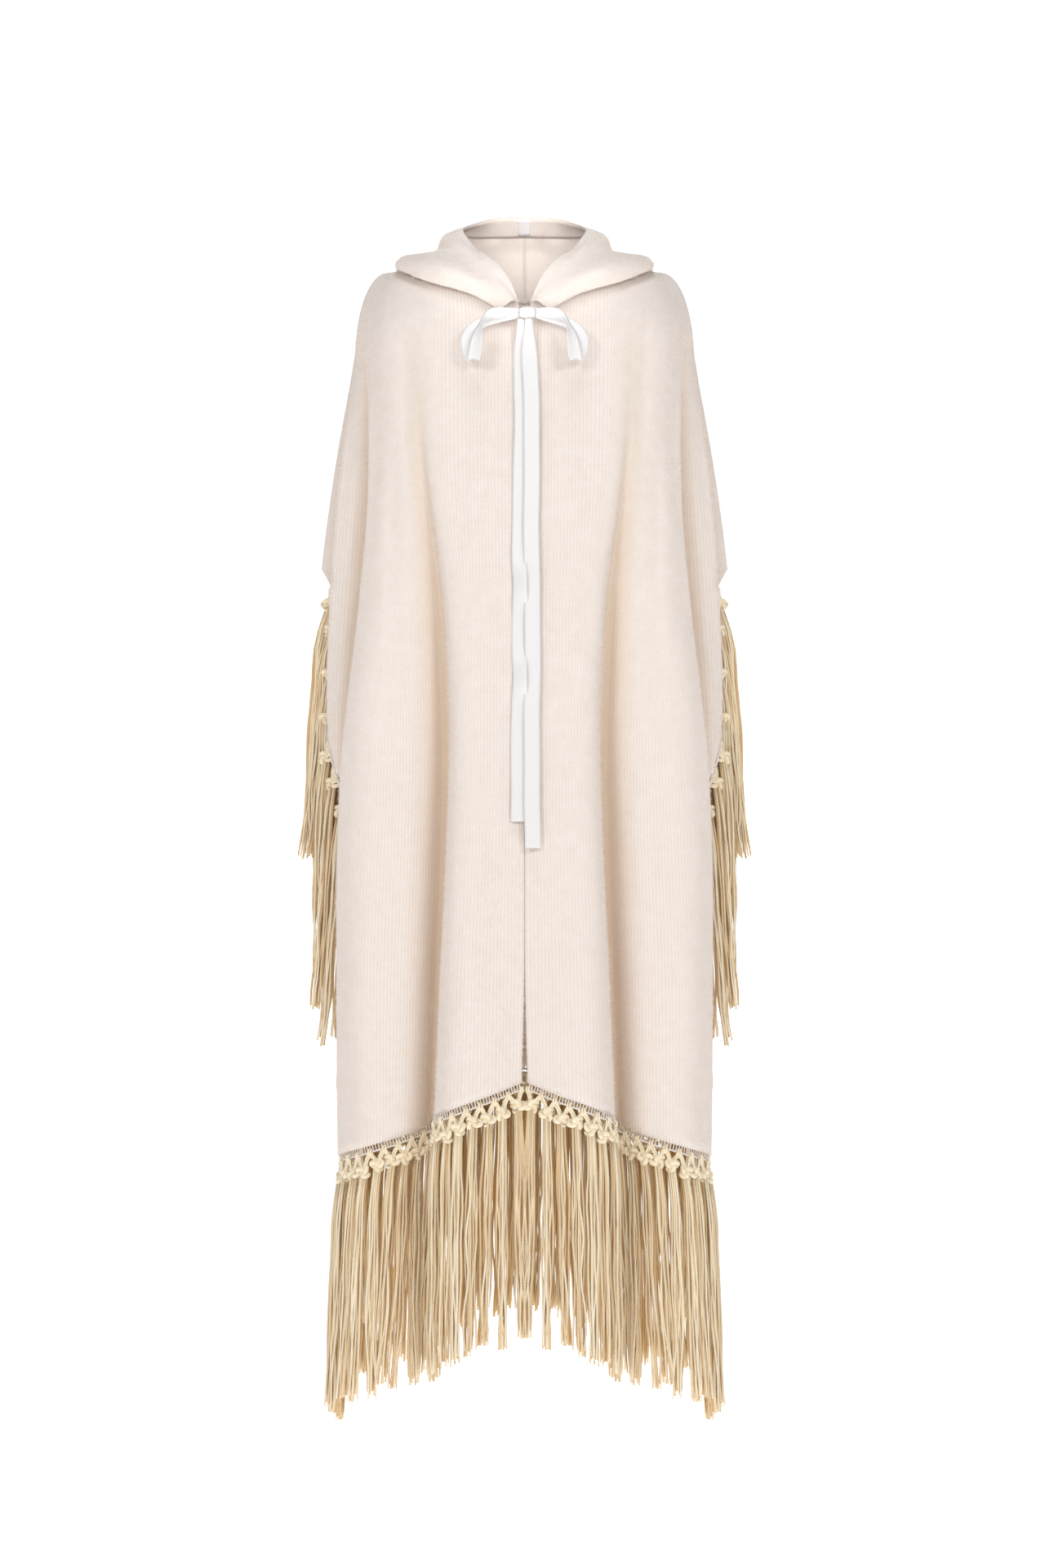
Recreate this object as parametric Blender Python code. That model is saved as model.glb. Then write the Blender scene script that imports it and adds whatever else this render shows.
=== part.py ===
"""A hooded knitted poncho with a netted, knotted fringe and a satin ribbon tie, hollow and hanging as it is worn.

The wearer faces -Y, +X is the wearer's left and +Z is up. The origin is the middle of the neck at the height of
the shoulders. Every size in the tables is in millimetres; the meshes are in metres.
"""

import math

import bmesh
import bpy
import numpy as np
from mathutils import Matrix

MM = 0.001

# The cloth
CLOTH_THICK, HOOD_THICK = 2.5, 2.0
SEAM_GAP, SLEEVE_GAP = 0.3, 0.8
CHEST_Z = -100.0
FRONT_HEM_Z = -981.0
HEM_FALL_PER_RAIL = 13.5
SLEEVE_END_Z = -362.0

# The shoulder seam runs from the side of the neck to the shoulder corner.
NECK_X, NECK_Z = 75.0, 12.0
CORNER_X, CORNER_Z = 168.0, 1.0
BACK_NECK_Y, BACK_NECK_Z = 64.0, -30.0
NECK_RAIL = 4.0

# Heights of the columns of the two rail tables below
LEVELS = (-100.0, -250.0, -400.0, -600.0, -850.0, -1110.0)
LAST_RAIL = 12.0
CORNER_RAIL = 11.0
RIM_RAIL = 7.0

# Each rail is a line down the cloth: a fold's crest, rim or valley. Across: its name, then x and y at each level.
FRONT_RAILS = (
    ("front edge", (1, 1, 1, 1, 2, 6), (-124, -140, -150, -160, -168, -172)),
    ("inner lobe", (36, 36, 34, 33, 37, 41), (-125, -143, -155, -167, -178, -184)),
    ("inner crest", (72, 72, 67, 65, 73, 81), (-122, -140, -156, -169, -181, -186)),
    ("inner rim", (108, 104, 91, 87, 98, 110), (-117, -133, -145, -152, -158, -158)),
    ("inner valley", (130, 124, 105, 95, 102, 112), (-111, -123, -122, -114, -107, -101)),
    ("outer rise", (151, 147, 141, 137, 143, 148), (-102, -115, -121, -122, -125, -122)),
    ("outer crest", (171, 168, 172, 182, 191, 190), (-87, -104, -113, -119, -124, -118)),
    ("outer rim", (187, 184, 195, 217, 224, 222), (-66, -84, -88, -89, -86, -78)),
    ("outer valley", (194, 186, 191, 206, 209, 208), (-47, -59, -59, -54, -50, -46)),
    ("strip crest", (199, 206, 216, 226, 204, 202), (-34, -50, -52, -50, -34, -32)),
    ("strip rim", (203, 223, 234, 237, 202, 200), (-22, -36, -36, -36, -26, -24)),
    ("sleeve valley", (206, 226, 236, 234, 200, 198), (-11, -16, -17, -17, -20, -18)),
    ("sleeve fold", (207, 234, 252, 258, 210, 205), (0, 0, 0, 0, -12, -12)),
)
BACK_RAILS = (
    ("centre back", (0, 0, 0, 0, 0, 0), (102, 113, 117, 119, 121, 123)),
    ("centre lobe", (32, 31, 29, 28, 30, 32), (102, 114, 121, 127, 132, 135)),
    ("inner crest", (62, 62, 57, 54, 58, 62), (100, 113, 124, 133, 142, 148)),
    ("inner rim", (90, 88, 79, 74, 80, 87), (97, 109, 118, 126, 134, 138)),
    ("inner valley", (112, 108, 94, 86, 91, 97), (92, 99, 98, 94, 91, 89)),
    ("outer rise", (135, 132, 126, 121, 124, 129), (84, 93, 99, 104, 109, 111)),
    ("outer crest", (160, 159, 161, 166, 170, 173), (72, 85, 94, 103, 111, 113)),
    ("outer rim", (180, 180, 190, 205, 213, 215), (56, 68, 75, 80, 82, 80)),
    ("outer valley", (192, 187, 190, 197, 200, 201), (40, 47, 49, 49, 47, 46)),
    ("strip crest", (198, 208, 215, 222, 196, 196), (29, 42, 45, 45, 32, 31)),
    ("strip rim", (203, 223, 234, 237, 194, 194), (20, 32, 34, 35, 25, 24)),
    ("sleeve valley", (206, 227, 238, 236, 192, 192), (10, 15, 16, 17, 20, 18)),
    ("sleeve fold", (207, 234, 252, 258, 200, 198), (0, 0, 0, 0, 12, 12)),
)
# Where the cloth ends at its side: the height, and the rail coordinate of the open edge there
SIDE_EDGE = (
    (SLEEVE_END_Z, 12.0),
    (-384.0, 11.0),
    (-460.0, 10.75),
    (-530.0, 10.45),
    (-568.0, 10.0),
    (-600.0, 9.3),
    (-632.0, 8.6),
    (-700.0, 8.35),
    (-1110.0, 8.3),
)
CAP_ROWS = (0.0, 0.2, 0.4, 0.6, 0.8, 1.0)
DROP_ROW_Z = (-170, -260, SLEEVE_END_Z, -384, -450, -520, -568, -600, -632, -710, -800, -890, FRONT_HEM_Z)
# How many columns a panel has up to the outer rim, and beyond it
COLUMNS = {"front": (15, 8), "back": (12, 7)}

# The hood lies back. A row is one section from the throat round to the centre back: where it is sewn to a panel and
# where its outer fold lies on that panel, as (panel, row, rail), how high the folded bag stands on the panel and at
# what share of the way out, and then the points of its roof, crease, rolled rim and face edge.
HOOD_SECTIONS = (
    ("throat", ("front", 0.78, 0.05), ("front", 0.80, 0.75), 13, 0.87, (21, -134, -50), (17, -134, -46), (12, -131, -44), (7, -127, -45)),
    ("lapel", ("front", 0.60, 0.1), ("front", 0.67, 1.7), 15, 0.87, (48, -121, -33), (37, -114, -27), (30, -105, -21), (21, -95, -23)),
    ("collar", ("front", 0.40, 0.1), ("front", 0.53, 3.7), 16, 0.87, (95, -99, -6), (68, -78, 2), (56, -64, 10), (43, -54, 6)),
    ("shoulder front", ("front", 0.15, 0.1), ("front", 0.33, 6.4), 16, 0.87, (122, -42, 16), (93, -25, 25), (80, -9, 38), (61, -5, 33)),
    ("shoulder", ("back", 0.04, 4.2), ("back", 0.22, 8.9), 17, 0.9, (128, 22, 24), (104, 28, 34), (99, 36, 49), (75, 38, 57)),
    ("back corner", ("back", 0.04, 2.7), ("back", 0.92, 6.2), 36, 0.94, (140, 96, -4), (106, 86, 42), (95, 82, 62), (72, 76, 71)),
    ("back quarter", ("back", 0.04, 1.4), ("back", 1.10, 3.0), 52, 0.95, (92, 160, -38), (64, 136, 46), (56, 121, 71), (43, 103, 80)),
    ("centre back", ("back", 0.04, 0.0), ("back", 1.13, 0.0), 58, 0.95, (0, 180, -48), (0, 150, 48), (0, 133, 75), (0, 116, 84)),
)
HOOD_SECTION_STEPS = 16
HOOD_ROWS = 16
HOOD_UNDER_LIFT = 4.5
# How far the hood's outer face keeps off the panels, from its neck seam (0) to its face edge (1)
HOOD_CLEARANCE = ((0.0, 2.2), (0.12, 5.6), (0.3, 5.6), (0.5, 13.5), (1.0, 12.0))
CLEARANCE_REACH = 25.0

# The hem turned inside the hood's face edge, and the tape over its seam
BAND_ROWS = (0.876, 0.9375, 0.995)
BAND_THICK = 1.2
BAND_SECTIONS = 8
TAPE_WIDTH, TAPE_THICK, TAPE_STAND_OFF = 16.0, 0.8, 0.7
TAPE_ROWS = (0.885, 0.9375, 0.985)

# The ribbon
RIBBON_WIDTH, RIBBON_THICK = 19.0, 1.0
KNOT_CENTRE = (3.0, -138.0, -67.0)
KNOT_SIZE = (19.0, 10.0, 14.0)
KNOT_SIDES = {"left": 12.7, "right": 6.7}
# A loop leaves the knot, drops, and comes back behind itself: x, y, z, the ribbon's width, and how far that width
# is turned up from level in front view, in degrees
LOOP = (
    (13, -139, -67, 9, 90),
    (28, -142, -68, 13, 90),
    (43, -146, -71, 14, 78),
    (51, -151, -82, 14, 45),
    (56, -154, -97, 16, 22),
    (59, -154, -115, 18, 8),
    (61, -149, -125, 19, 3),
    (65, -144.5, -118, 19, 8),
    (68, -142.5, -103, 19, 28),
    (63, -141, -89, 17, 50),
    (50, -139, -79, 14, 72),
    (30, -137.5, -73, 12, 88),
    (13, -136.5, -69, 9, 90),
)
LOOP_STEPS = 24
TAILS = (
    ("ribbon_tail_front", (5, 8, 8.5, 9, 9, 9), -700.0, 5.0),
    ("ribbon_tail_back", (0, -3, -5, -6, -6, -7), -669.0, 0.85),
)
TAIL_START_Z = -74.4
# How far the tails' upper ends stand out to the knot, and the share of their length over which they settle
TAIL_TOP_OUT, TAIL_SETTLE = 9.5, 0.07
TAIL_STEPS = 18

# The fringe: a band of netting knotted from the hem, and a lock of yarn hanging from each knot
FRINGE_PITCH = 17.6
FRINGE_DROP = 296.0
STRIP_DEPTH, STRIP_GAP = 4.0, 1.0
KNOT_DROP, KNOT_WIDTH, KNOT_THICK = 22.0, 11.0, 9.0
LEG_WIDTH, LEG_THICK = 5.5, 4.5
LOCK_WIDTH, LOCK_THICK = 11.0, 7.0
LOCK_END_WIDTH, LOCK_END_THICK = 8.0, 5.0
# Locks nearer to each other than this, in the depth of a fold, are that much slimmer.
ROOM_WANTED = 15.5
UNEVEN_END = 9.0
# At which share of its length a lock stands off by which share of its lean
LOCK_SWING = ((0.14, 0.4), (1.0, 1.0))
HEM_LEAN = 14.0
# Locks on an open side edge: the height of the root, how far the knot hangs off it sideways and toward the space
# between front and back, and how far the lock's end then hangs off the knot in the same two ways
SIDE_LOCKS = (
    (-396.0, 5, 5, 34, -2),
    (-428.0, 5, 5, 28, -1),
    (-480.0, 5, 5, 18, -4),
    (-534.0, 5, 5, 7, -9),
    (-582.0, 5, 3, 20, -7),
    (-614.0, 5, 5, 22, -8),
    (-648.0, 5, 5, 22, -14),
    (-712.0, 1, 8, 10, 24),
    (-810.0, 1, 8, -12, 24),
    (-908.0, 1, 8, 10, 24),
    (-1006.0, 1, 8, -12, 24),
)
SIDE_LOCK_WIDTH, SIDE_LOCK_THICK = 6.5, 5.0
SIDE_STRIP_GAP = 1.5

MATERIALS = {
    "knit": ((0.88, 0.81, 0.76), 0.95),
    "satin": ((0.95, 0.93, 0.92), 0.35),
    "fringe yarn": ((0.78, 0.66, 0.46), 0.85),
}


def clear_scene():
    for obj in list(bpy.data.objects):
        bpy.data.objects.remove(obj)


def material(name):
    if name in bpy.data.materials:
        return bpy.data.materials[name]
    colour, roughness = MATERIALS[name]
    made = bpy.data.materials.new(name)
    made.use_nodes = True
    shader = made.node_tree.nodes["Principled BSDF"]
    shader.inputs["Base Color"].default_value = (*colour, 1.0)
    shader.inputs["Roughness"].default_value = roughness
    shader.inputs["Metallic"].default_value = 0.0
    return made


def slopes(at, values):
    """The slope of a smooth curve at each of its points."""
    made = [(values[1] - values[0]) / (at[1] - at[0])]
    for i in range(1, len(at) - 1):
        made.append((values[i + 1] - values[i - 1]) / (at[i + 1] - at[i - 1]))
    made.append((values[-1] - values[-2]) / (at[-1] - at[-2]))
    return made


def curve_at(at, values, place):
    """The smooth curve through values, which stand at increasing places, at one place."""
    at, values = np.asarray(at, float), np.asarray(values, float)
    place = min(max(place, at[0]), at[-1])
    i = min(int(np.searchsorted(at, place, side="right")) - 1, len(at) - 2)
    i = max(i, 0)
    wide = at[i + 1] - at[i]
    t = (place - at[i]) / wide
    tangent = slopes(at, values)
    return (
        (2 * t**3 - 3 * t**2 + 1) * values[i]
        + (t**3 - 2 * t**2 + t) * wide * tangent[i]
        + (3 * t**2 - 2 * t**3) * values[i + 1]
        + (t**3 - t**2) * wide * tangent[i + 1]
    )


def ramp(value):
    """0 to 1, smooth at both ends."""
    value = min(max(value, 0.0), 1.0)
    return value * value * (3 - 2 * value)


def rails_as_arrays(rails):
    """Points of the rails, as [level][rail] -> (x, y)."""
    return np.array([[(xs[k], ys[k]) for _, xs, ys in rails] for k in range(len(LEVELS))], float)


RAIL_POINTS = {"front": rails_as_arrays(FRONT_RAILS), "back": rails_as_arrays(BACK_RAILS)}
RISING_LEVELS = [-level for level in LEVELS]


def section_point(panel, z, rail):
    """The cloth's (x, y) at a height, on a rail coordinate."""
    rails = curve_at(RISING_LEVELS, RAIL_POINTS[panel], -z)
    return curve_at(range(len(rails)), rails, rail)


def top_point(panel, rail):
    """The panel's top edge: the shoulder seam, and on the back also the neckline."""
    if panel == "back" and rail < NECK_RAIL:
        turn = math.pi / 2 * rail / NECK_RAIL
        z = BACK_NECK_Z + (NECK_Z - BACK_NECK_Z) * math.sin(turn) ** 2
        return np.array((NECK_X * math.sin(turn), BACK_NECK_Y * math.cos(turn), z))
    first = NECK_RAIL if panel == "back" else 0.0
    share = (rail - first) / (LAST_RAIL - first)
    return np.array((NECK_X + (CORNER_X - NECK_X) * share, 0.0, NECK_Z + (CORNER_Z - NECK_Z) * share**0.8))


def panel_point(panel, row, rail):
    """The cloth's outer face. Row 0 is the shoulder seam, 1 the chest and 2 the hem."""
    if row <= 1:
        turn = math.pi / 2 * row
        top = top_point(panel, rail)
        x, y = section_point(panel, CHEST_Z, rail)
        return np.array(
            (
                top[0] + (x - top[0]) * math.sin(turn),
                top[1] + (y - top[1]) * math.sin(turn),
                top[2] + (CHEST_Z - top[2]) * (1 - math.cos(turn)),
            )
        )
    fall = row - 1
    z = CHEST_Z + (FRONT_HEM_Z - CHEST_Z) * fall - HEM_FALL_PER_RAIL * rail * ramp((fall - 0.6) / 0.4)
    x, y = section_point(panel, z, rail)
    return np.array((x, y, z))


def row_of_height(z):
    return 1 + (z - CHEST_Z) / (FRONT_HEM_Z - CHEST_Z)


def last_rail(row):
    """The rail coordinate of the cloth's side edge on a row."""
    z = CHEST_Z + (FRONT_HEM_Z - CHEST_Z) * (row - 1)
    if z >= SLEEVE_END_Z:
        return LAST_RAIL
    heights = [-height for height, _ in SIDE_EDGE]
    return float(np.interp(-z, heights, [rail for _, rail in SIDE_EDGE]))


def panel_normal(panel, row, rail):
    """The outward direction of the cloth's face."""
    step = 0.02
    last = last_rail(row)
    down = panel_point(panel, min(row + step, 2), rail) - panel_point(panel, max(row - step, 0), rail)
    across = panel_point(panel, row, min(rail + step * 5, last)) - panel_point(panel, row, max(rail - step * 5, 0))
    normal = np.cross(down, across) if panel == "front" else np.cross(across, down)
    return normal / np.linalg.norm(normal)


def lifted(panel, row, rail, lift):
    return panel_point(panel, row, rail) + lift * panel_normal(panel, row, rail)


def wall_object(name, outer, inner, finish):
    """A closed wall lofted between an outer and an inner grid of points, both [row][column]."""
    rows, columns = len(outer), len(outer[0])
    points = [tuple(p * MM) for grid in (outer, inner) for line in grid for p in line]
    half = rows * columns

    def at(side, row, column):
        return side * half + row * columns + column

    faces = []
    for i in range(rows - 1):
        for j in range(columns - 1):
            faces.append((at(0, i, j), at(0, i + 1, j), at(0, i + 1, j + 1), at(0, i, j + 1)))
            faces.append((at(1, i, j), at(1, i, j + 1), at(1, i + 1, j + 1), at(1, i + 1, j)))
    for i in range(rows - 1):
        for j, turned in ((0, True), (columns - 1, False)):
            rim = (at(0, i, j), at(0, i + 1, j), at(1, i + 1, j), at(1, i, j))
            faces.append(rim[::-1] if turned else rim)
    for j in range(columns - 1):
        for i, turned in ((0, False), (rows - 1, True)):
            rim = (at(0, i, j), at(0, i, j + 1), at(1, i, j + 1), at(1, i, j))
            faces.append(rim[::-1] if turned else rim)
    return mesh_object(name, points, faces, finish)


def mesh_object(name, points, faces, finish):
    mesh = bpy.data.meshes.new(name)
    mesh.from_pydata(points, [], faces)
    shaped = bmesh.new()
    shaped.from_mesh(mesh)
    bmesh.ops.recalc_face_normals(shaped, faces=shaped.faces)
    if shaped.calc_volume(signed=True) < 0:
        bmesh.ops.reverse_faces(shaped, faces=shaped.faces)
    shaped.to_mesh(mesh)
    shaped.free()
    mesh.shade_smooth()
    mesh.set_sharp_from_angle(angle=math.radians(60))
    mesh.materials.append(material(finish))
    obj = bpy.data.objects.new(name, mesh)
    bpy.context.scene.collection.children["hooded poncho"].objects.link(obj)
    return obj


def mirrored(obj, name):
    """The same piece on the other side of the middle."""
    mesh = obj.data.copy()
    mesh.transform(Matrix.Scale(-1, 4, (1, 0, 0)))
    mesh.flip_normals()
    twin = bpy.data.objects.new(name, mesh)
    bpy.context.scene.collection.children["hooded poncho"].objects.link(twin)
    return twin


def panel_rows():
    return [*CAP_ROWS, *(row_of_height(z) for z in DROP_ROW_Z)]


def panel_columns(panel, row):
    """Rail coordinates of a row's columns. Those up to the outer rim keep to the folds."""
    to_rim, beyond = COLUMNS[panel]
    return [*np.linspace(0, RIM_RAIL, to_rim), *np.linspace(RIM_RAIL, last_rail(row), beyond + 1)[1:]]


def panel_grids(panel):
    """Outer and inner points of the half panel at +X, seams parted by the gap."""
    side = -1 if panel == "front" else 1
    outer, inner = [], []
    for row in panel_rows():
        rails = panel_columns(panel, row)
        out_line, in_line = [], []
        for rail in rails:
            point, normal = panel_point(panel, row, rail), panel_normal(panel, max(row, 0.2), rail)
            on_shoulder_seam = row == 0 and (panel == "front" or rail >= NECK_RAIL)
            on_sleeve_fold = rail == rails[-1] and rail == LAST_RAIL
            if row == 2:
                normal = level_direction(normal)
            if row < 1 and rail > CORNER_RAIL:
                normal = panel_normal(panel, max(row, 0.2), LAST_RAIL)
            if on_shoulder_seam or on_sleeve_fold:
                normal[1] = 0.0
                normal /= np.linalg.norm(normal)
                point[1] = side * (SEAM_GAP if row == 0 else SLEEVE_GAP) / 2
            if panel == "back" and rail == 0:
                normal[0] = 0.0
            out_line.append(point)
            in_line.append(point - CLOTH_THICK * normal)
        outer.append(out_line)
        inner.append(in_line)
    return outer, inner


def whole_from_half(grid):
    """A grid that starts on the middle, continued on the other side of it."""
    flip = np.array((-1, 1, 1))
    return [[p * flip for p in line[:0:-1]] + line for line in grid]


def make_panels():
    outer, inner = panel_grids("front")
    left = wall_object("front_left", outer, inner, "knit")
    mirrored(left, "front_right")
    outer, inner = panel_grids("back")
    wall_object("back", whole_from_half(outer), whole_from_half(inner), "knit")


def hood_station(section):
    """Control points of one hood section, from the neck seam round the bag to the face edge."""
    _, (panel, first_row, first_rail), (_, last_row, last_fold_rail), stand, stand_share, *upper = section

    def on_panel(share, lift):
        row = first_row + share * (last_row - first_row)
        return lifted(panel, row, first_rail + share * (last_fold_rail - first_rail), lift)

    lower = [on_panel(share, HOOD_UNDER_LIFT) for share in (0.0, stand_share / 2, stand_share)]
    turn = on_panel(1.0, HOOD_UNDER_LIFT + 0.4 * (stand - HOOD_UNDER_LIFT))
    return np.array([*lower, turn, on_panel(stand_share, stand), *upper], float)


HOOD_STATIONS = [hood_station(section) for section in HOOD_SECTIONS]
HOOD_LENGTHS = [
    np.concatenate([[0], np.cumsum(np.linalg.norm(np.diff(station, axis=0), axis=1))]) for station in HOOD_STATIONS
]


def panel_samples():
    """Points and outward directions over the shoulders, front and back."""
    places = [
        (panel, row, rail)
        for panel in ("front", "back")
        for row in np.linspace(0.01, 1.25, 32)
        for rail in np.linspace(0, LAST_RAIL, 49)
    ]
    points = np.array([panel_point(*place) for place in places])
    return points, np.array([panel_normal(*place) for place in places])


SAMPLE_POINTS, SAMPLE_NORMALS = panel_samples()


def hood_point(section, row):
    """The hood's outer face, kept clear of the panels it lies on."""
    point = free_hood_point(section, row)
    away = np.linalg.norm(SAMPLE_POINTS - point, axis=1)
    k = int(np.argmin(away))
    if away[k] > CLEARANCE_REACH:
        return point
    need = np.interp(row, *zip(*HOOD_CLEARANCE))
    lift = np.dot(point - SAMPLE_POINTS[k], SAMPLE_NORMALS[k])
    return point + max(need - lift, 0.0) * SAMPLE_NORMALS[k]


def free_hood_point(section, row):
    """The hood's outer face: section 0 is the throat and 1 the centre back, row 0 the neck seam, 1 the face edge."""
    index = row * (len(HOOD_STATIONS[0]) - 1)
    ribs = [
        curve_at(along, station, np.interp(index, range(len(along)), along))
        for station, along in zip(HOOD_STATIONS, HOOD_LENGTHS)
    ]
    return curve_at(range(len(ribs)), ribs, section * (len(ribs) - 1))


def hood_normal(section, row):
    step = 0.01
    along = hood_point(min(section + step, 1), row) - hood_point(max(section - step, 0), row)
    up = hood_point(section, min(row + step, 1)) - hood_point(section, max(row - step, 0))
    normal = np.cross(along, up)
    if section > 1 - step:
        normal[0] = 0.0
    return normal / np.linalg.norm(normal)


def hood_grid(sections, rows, depth):
    """Points of the hood at a depth under its outer face, parted at the centre back seam."""
    made = []
    for row in rows:
        line = []
        for section in sections:
            point = hood_point(section, row) - depth * hood_normal(section, row)
            point[0] = max(point[0], SEAM_GAP / 2)
            line.append(point)
        made.append(line)
    return made


def make_hood():
    sections = np.linspace(0, 1, HOOD_SECTION_STEPS + 1)
    rows = np.linspace(0, 1, HOOD_ROWS + 1)
    left = wall_object("hood_left", hood_grid(sections, rows, 0), hood_grid(sections, rows, HOOD_THICK), "knit")
    mirrored(left, "hood_right")


def make_hood_band():
    """The hem turned in along the hood's face edge, in one piece across the centre back."""
    sections = np.linspace(1, 0, HOOD_SECTION_STEPS + 1)[: BAND_SECTIONS + 1]
    near, far = HOOD_THICK + SEAM_GAP, HOOD_THICK + SEAM_GAP + BAND_THICK
    outer, inner = hood_grid(sections, BAND_ROWS, near), hood_grid(sections, BAND_ROWS, far)
    for line in outer + inner:
        line[0][0] = 0.0
    wall_object("hood_band", whole_from_half(outer), whole_from_half(inner), "knit")


def make_hood_tape():
    """The short tape that covers the seam on the band."""
    depth = HOOD_THICK + SEAM_GAP + BAND_THICK
    outer, inner = [], []
    for row in TAPE_ROWS:
        inward = -hood_normal(1, row)
        near = hood_point(1, row) + inward * depth + np.array((0, -TAPE_STAND_OFF, 0))
        near[0] = 0.0
        round_back = hood_point(1 - 1 / HOOD_SECTION_STEPS, row) - hood_point(1, row)
        across = round_back * TAPE_WIDTH / 2 / round_back[0]
        outer.append([near + across * (-1, 1, 1), near, near + across])
        inner.append([point + inward * TAPE_THICK for point in outer[-1]])
    wall_object("hood_tape", outer, inner, "satin")


def ribbon_object(name, path, widths, sides, finish="satin"):
    """A flat ribbon along a path, its width lying along the given side directions."""
    outer, inner = [], []
    for k, (point, width, side) in enumerate(zip(path, widths, sides)):
        ahead = path[min(k + 1, len(path) - 1)] - path[max(k - 1, 0)]
        face = np.cross(ahead, side)
        face *= RIBBON_THICK / 2 / np.linalg.norm(face)
        reach = side / np.linalg.norm(side) * width / 2
        outer.append([point - reach + face, point + reach + face])
        inner.append([point - reach - face, point + reach - face])
    return wall_object(name, outer, inner, finish)


def make_loops():
    table = np.array(LOOP, float)
    for side, sign in (("left", 1), ("right", -1)):
        table[0, 0] = table[-1, 0] = KNOT_SIDES[side]
        rows = [curve_at(range(len(table)), table, share) for share in np.linspace(0, len(table) - 1, LOOP_STEPS + 1)]
        path = [np.array((sign * row[0], row[1], row[2])) for row in rows]
        turns = [math.radians(row[4]) for row in rows]
        sides = [np.array((sign * math.cos(turn), 0.0, math.sin(turn))) for turn in turns]
        ribbon_object(f"ribbon_loop_{side}", path, [row[3] for row in rows], sides)


def make_knot():
    """The ribbon's knot: a rounded bead of wrapped ribbon."""
    bpy.ops.mesh.primitive_uv_sphere_add(segments=10, ring_count=6, radius=0.5)
    knot = bpy.context.object
    knot.name = "ribbon_knot"
    centre, size = Matrix.Translation([v * MM for v in KNOT_CENTRE]), Matrix.Diagonal([v * MM for v in KNOT_SIZE] + [1])
    knot.data.transform(centre @ size)
    knot.data.shade_smooth()
    knot.data.materials.append(material("satin"))
    for holder in knot.users_collection:
        holder.objects.unlink(knot)
    bpy.context.scene.collection.children["hooded poncho"].objects.link(knot)


def make_tails():
    """The ribbon's two ends, hanging over the closed fronts and following their face."""
    for name, drift, end_z, lift in TAILS:
        path, widths, sides = [], [], []
        for k in range(TAIL_STEPS + 1):
            share = k / TAIL_STEPS
            z = TAIL_START_Z + (end_z - TAIL_START_Z) * share
            x = float(curve_at(range(len(drift)), drift, share * (len(drift) - 1)))
            face = min(section_point("front", z, 0.0)[1], section_point("front", z, 0.6)[1])
            if z > CHEST_Z:
                face = section_point("front", CHEST_Z, 0.0)[1]
            out = (TAIL_TOP_OUT if lift > 3 else TAIL_TOP_OUT + 2.1) * (1 - ramp(share / TAIL_SETTLE))
            path.append(np.array((x, face - lift - out, z)))
            widths.append(RIBBON_WIDTH * (0.45 + 0.55 * ramp(share / TAIL_SETTLE)))
            sides.append(np.array((1.0, 0.0, 0.0)))
        ribbon_object(name, path, widths, sides)


def mid_line(outer, inner):
    """The middle of a wall's edge and the wall's direction there, from the two edges of its faces."""
    outer, inner = np.array(outer), np.array(inner)
    normals = outer - inner
    return (outer + inner) / 2, normals / np.linalg.norm(normals, axis=1)[:, None]


class Line:
    """A line of points with a direction at each, read off by the length along it."""

    def __init__(self, points, normals):
        steps = np.linalg.norm(np.diff(points, axis=0), axis=1)
        self.along = np.concatenate([[0], np.cumsum(steps)])
        self.points, self.normals = points, normals
        self.length = self.along[-1]

    def at(self, place):
        point, normal = (
            np.array([np.interp(place, self.along, values[:, axis]) for axis in range(3)])
            for values in (self.points, self.normals)
        )
        return point, level_direction(normal)


def level_direction(vector):
    flat = np.array((vector[0], vector[1], 0.0))
    return flat / np.linalg.norm(flat)


class Fringe:
    """Points and faces of one fringe: one closed body, its locks fused to the strip along the cloth's edge."""

    def __init__(self):
        self.points = []
        self.faces = []

    def add(self, *points):
        first = len(self.points)
        self.points += [np.asarray(p, float) for p in points]
        return tuple(range(first, first + len(points)))

    def ring(self, centre, across, through, width, thick):
        """Four corners round a centre: a lock's section."""
        a, t = across * width / 2, through * thick / 2
        return self.add(centre - a + t, centre + a + t, centre + a - t, centre - a - t)

    def join(self, upper, lower):
        for k in range(len(upper)):
            n = (k + 1) % len(upper)
            self.faces.append((upper[k], upper[n], lower[n], lower[k]))

    def lock(self, root, knot_centre, across, through, lean, drop, sizes):
        """A lock hanging from the four points of its root, its end standing off by the lean."""
        rings = [root]
        for (share, off), (width, thick) in zip(LOCK_SWING, sizes):
            centre = knot_centre + np.array((lean[0] * off, lean[1] * off, -drop * share))
            rings.append(self.ring(centre, across, through, width, thick))
        for upper, lower in zip(rings, rings[1:]):
            self.join(upper, lower)
        self.faces.append(rings[-1])

    def build(self, name):
        return mesh_object(name, [tuple(p * MM) for p in self.points], self.faces, "fringe yarn")


def uneven(k):
    """How much longer or shorter a lock is than its neighbours."""
    return UNEVEN_END * math.sin(2.3 * k + 0.7 * math.sin(1.7 * k))


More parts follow.
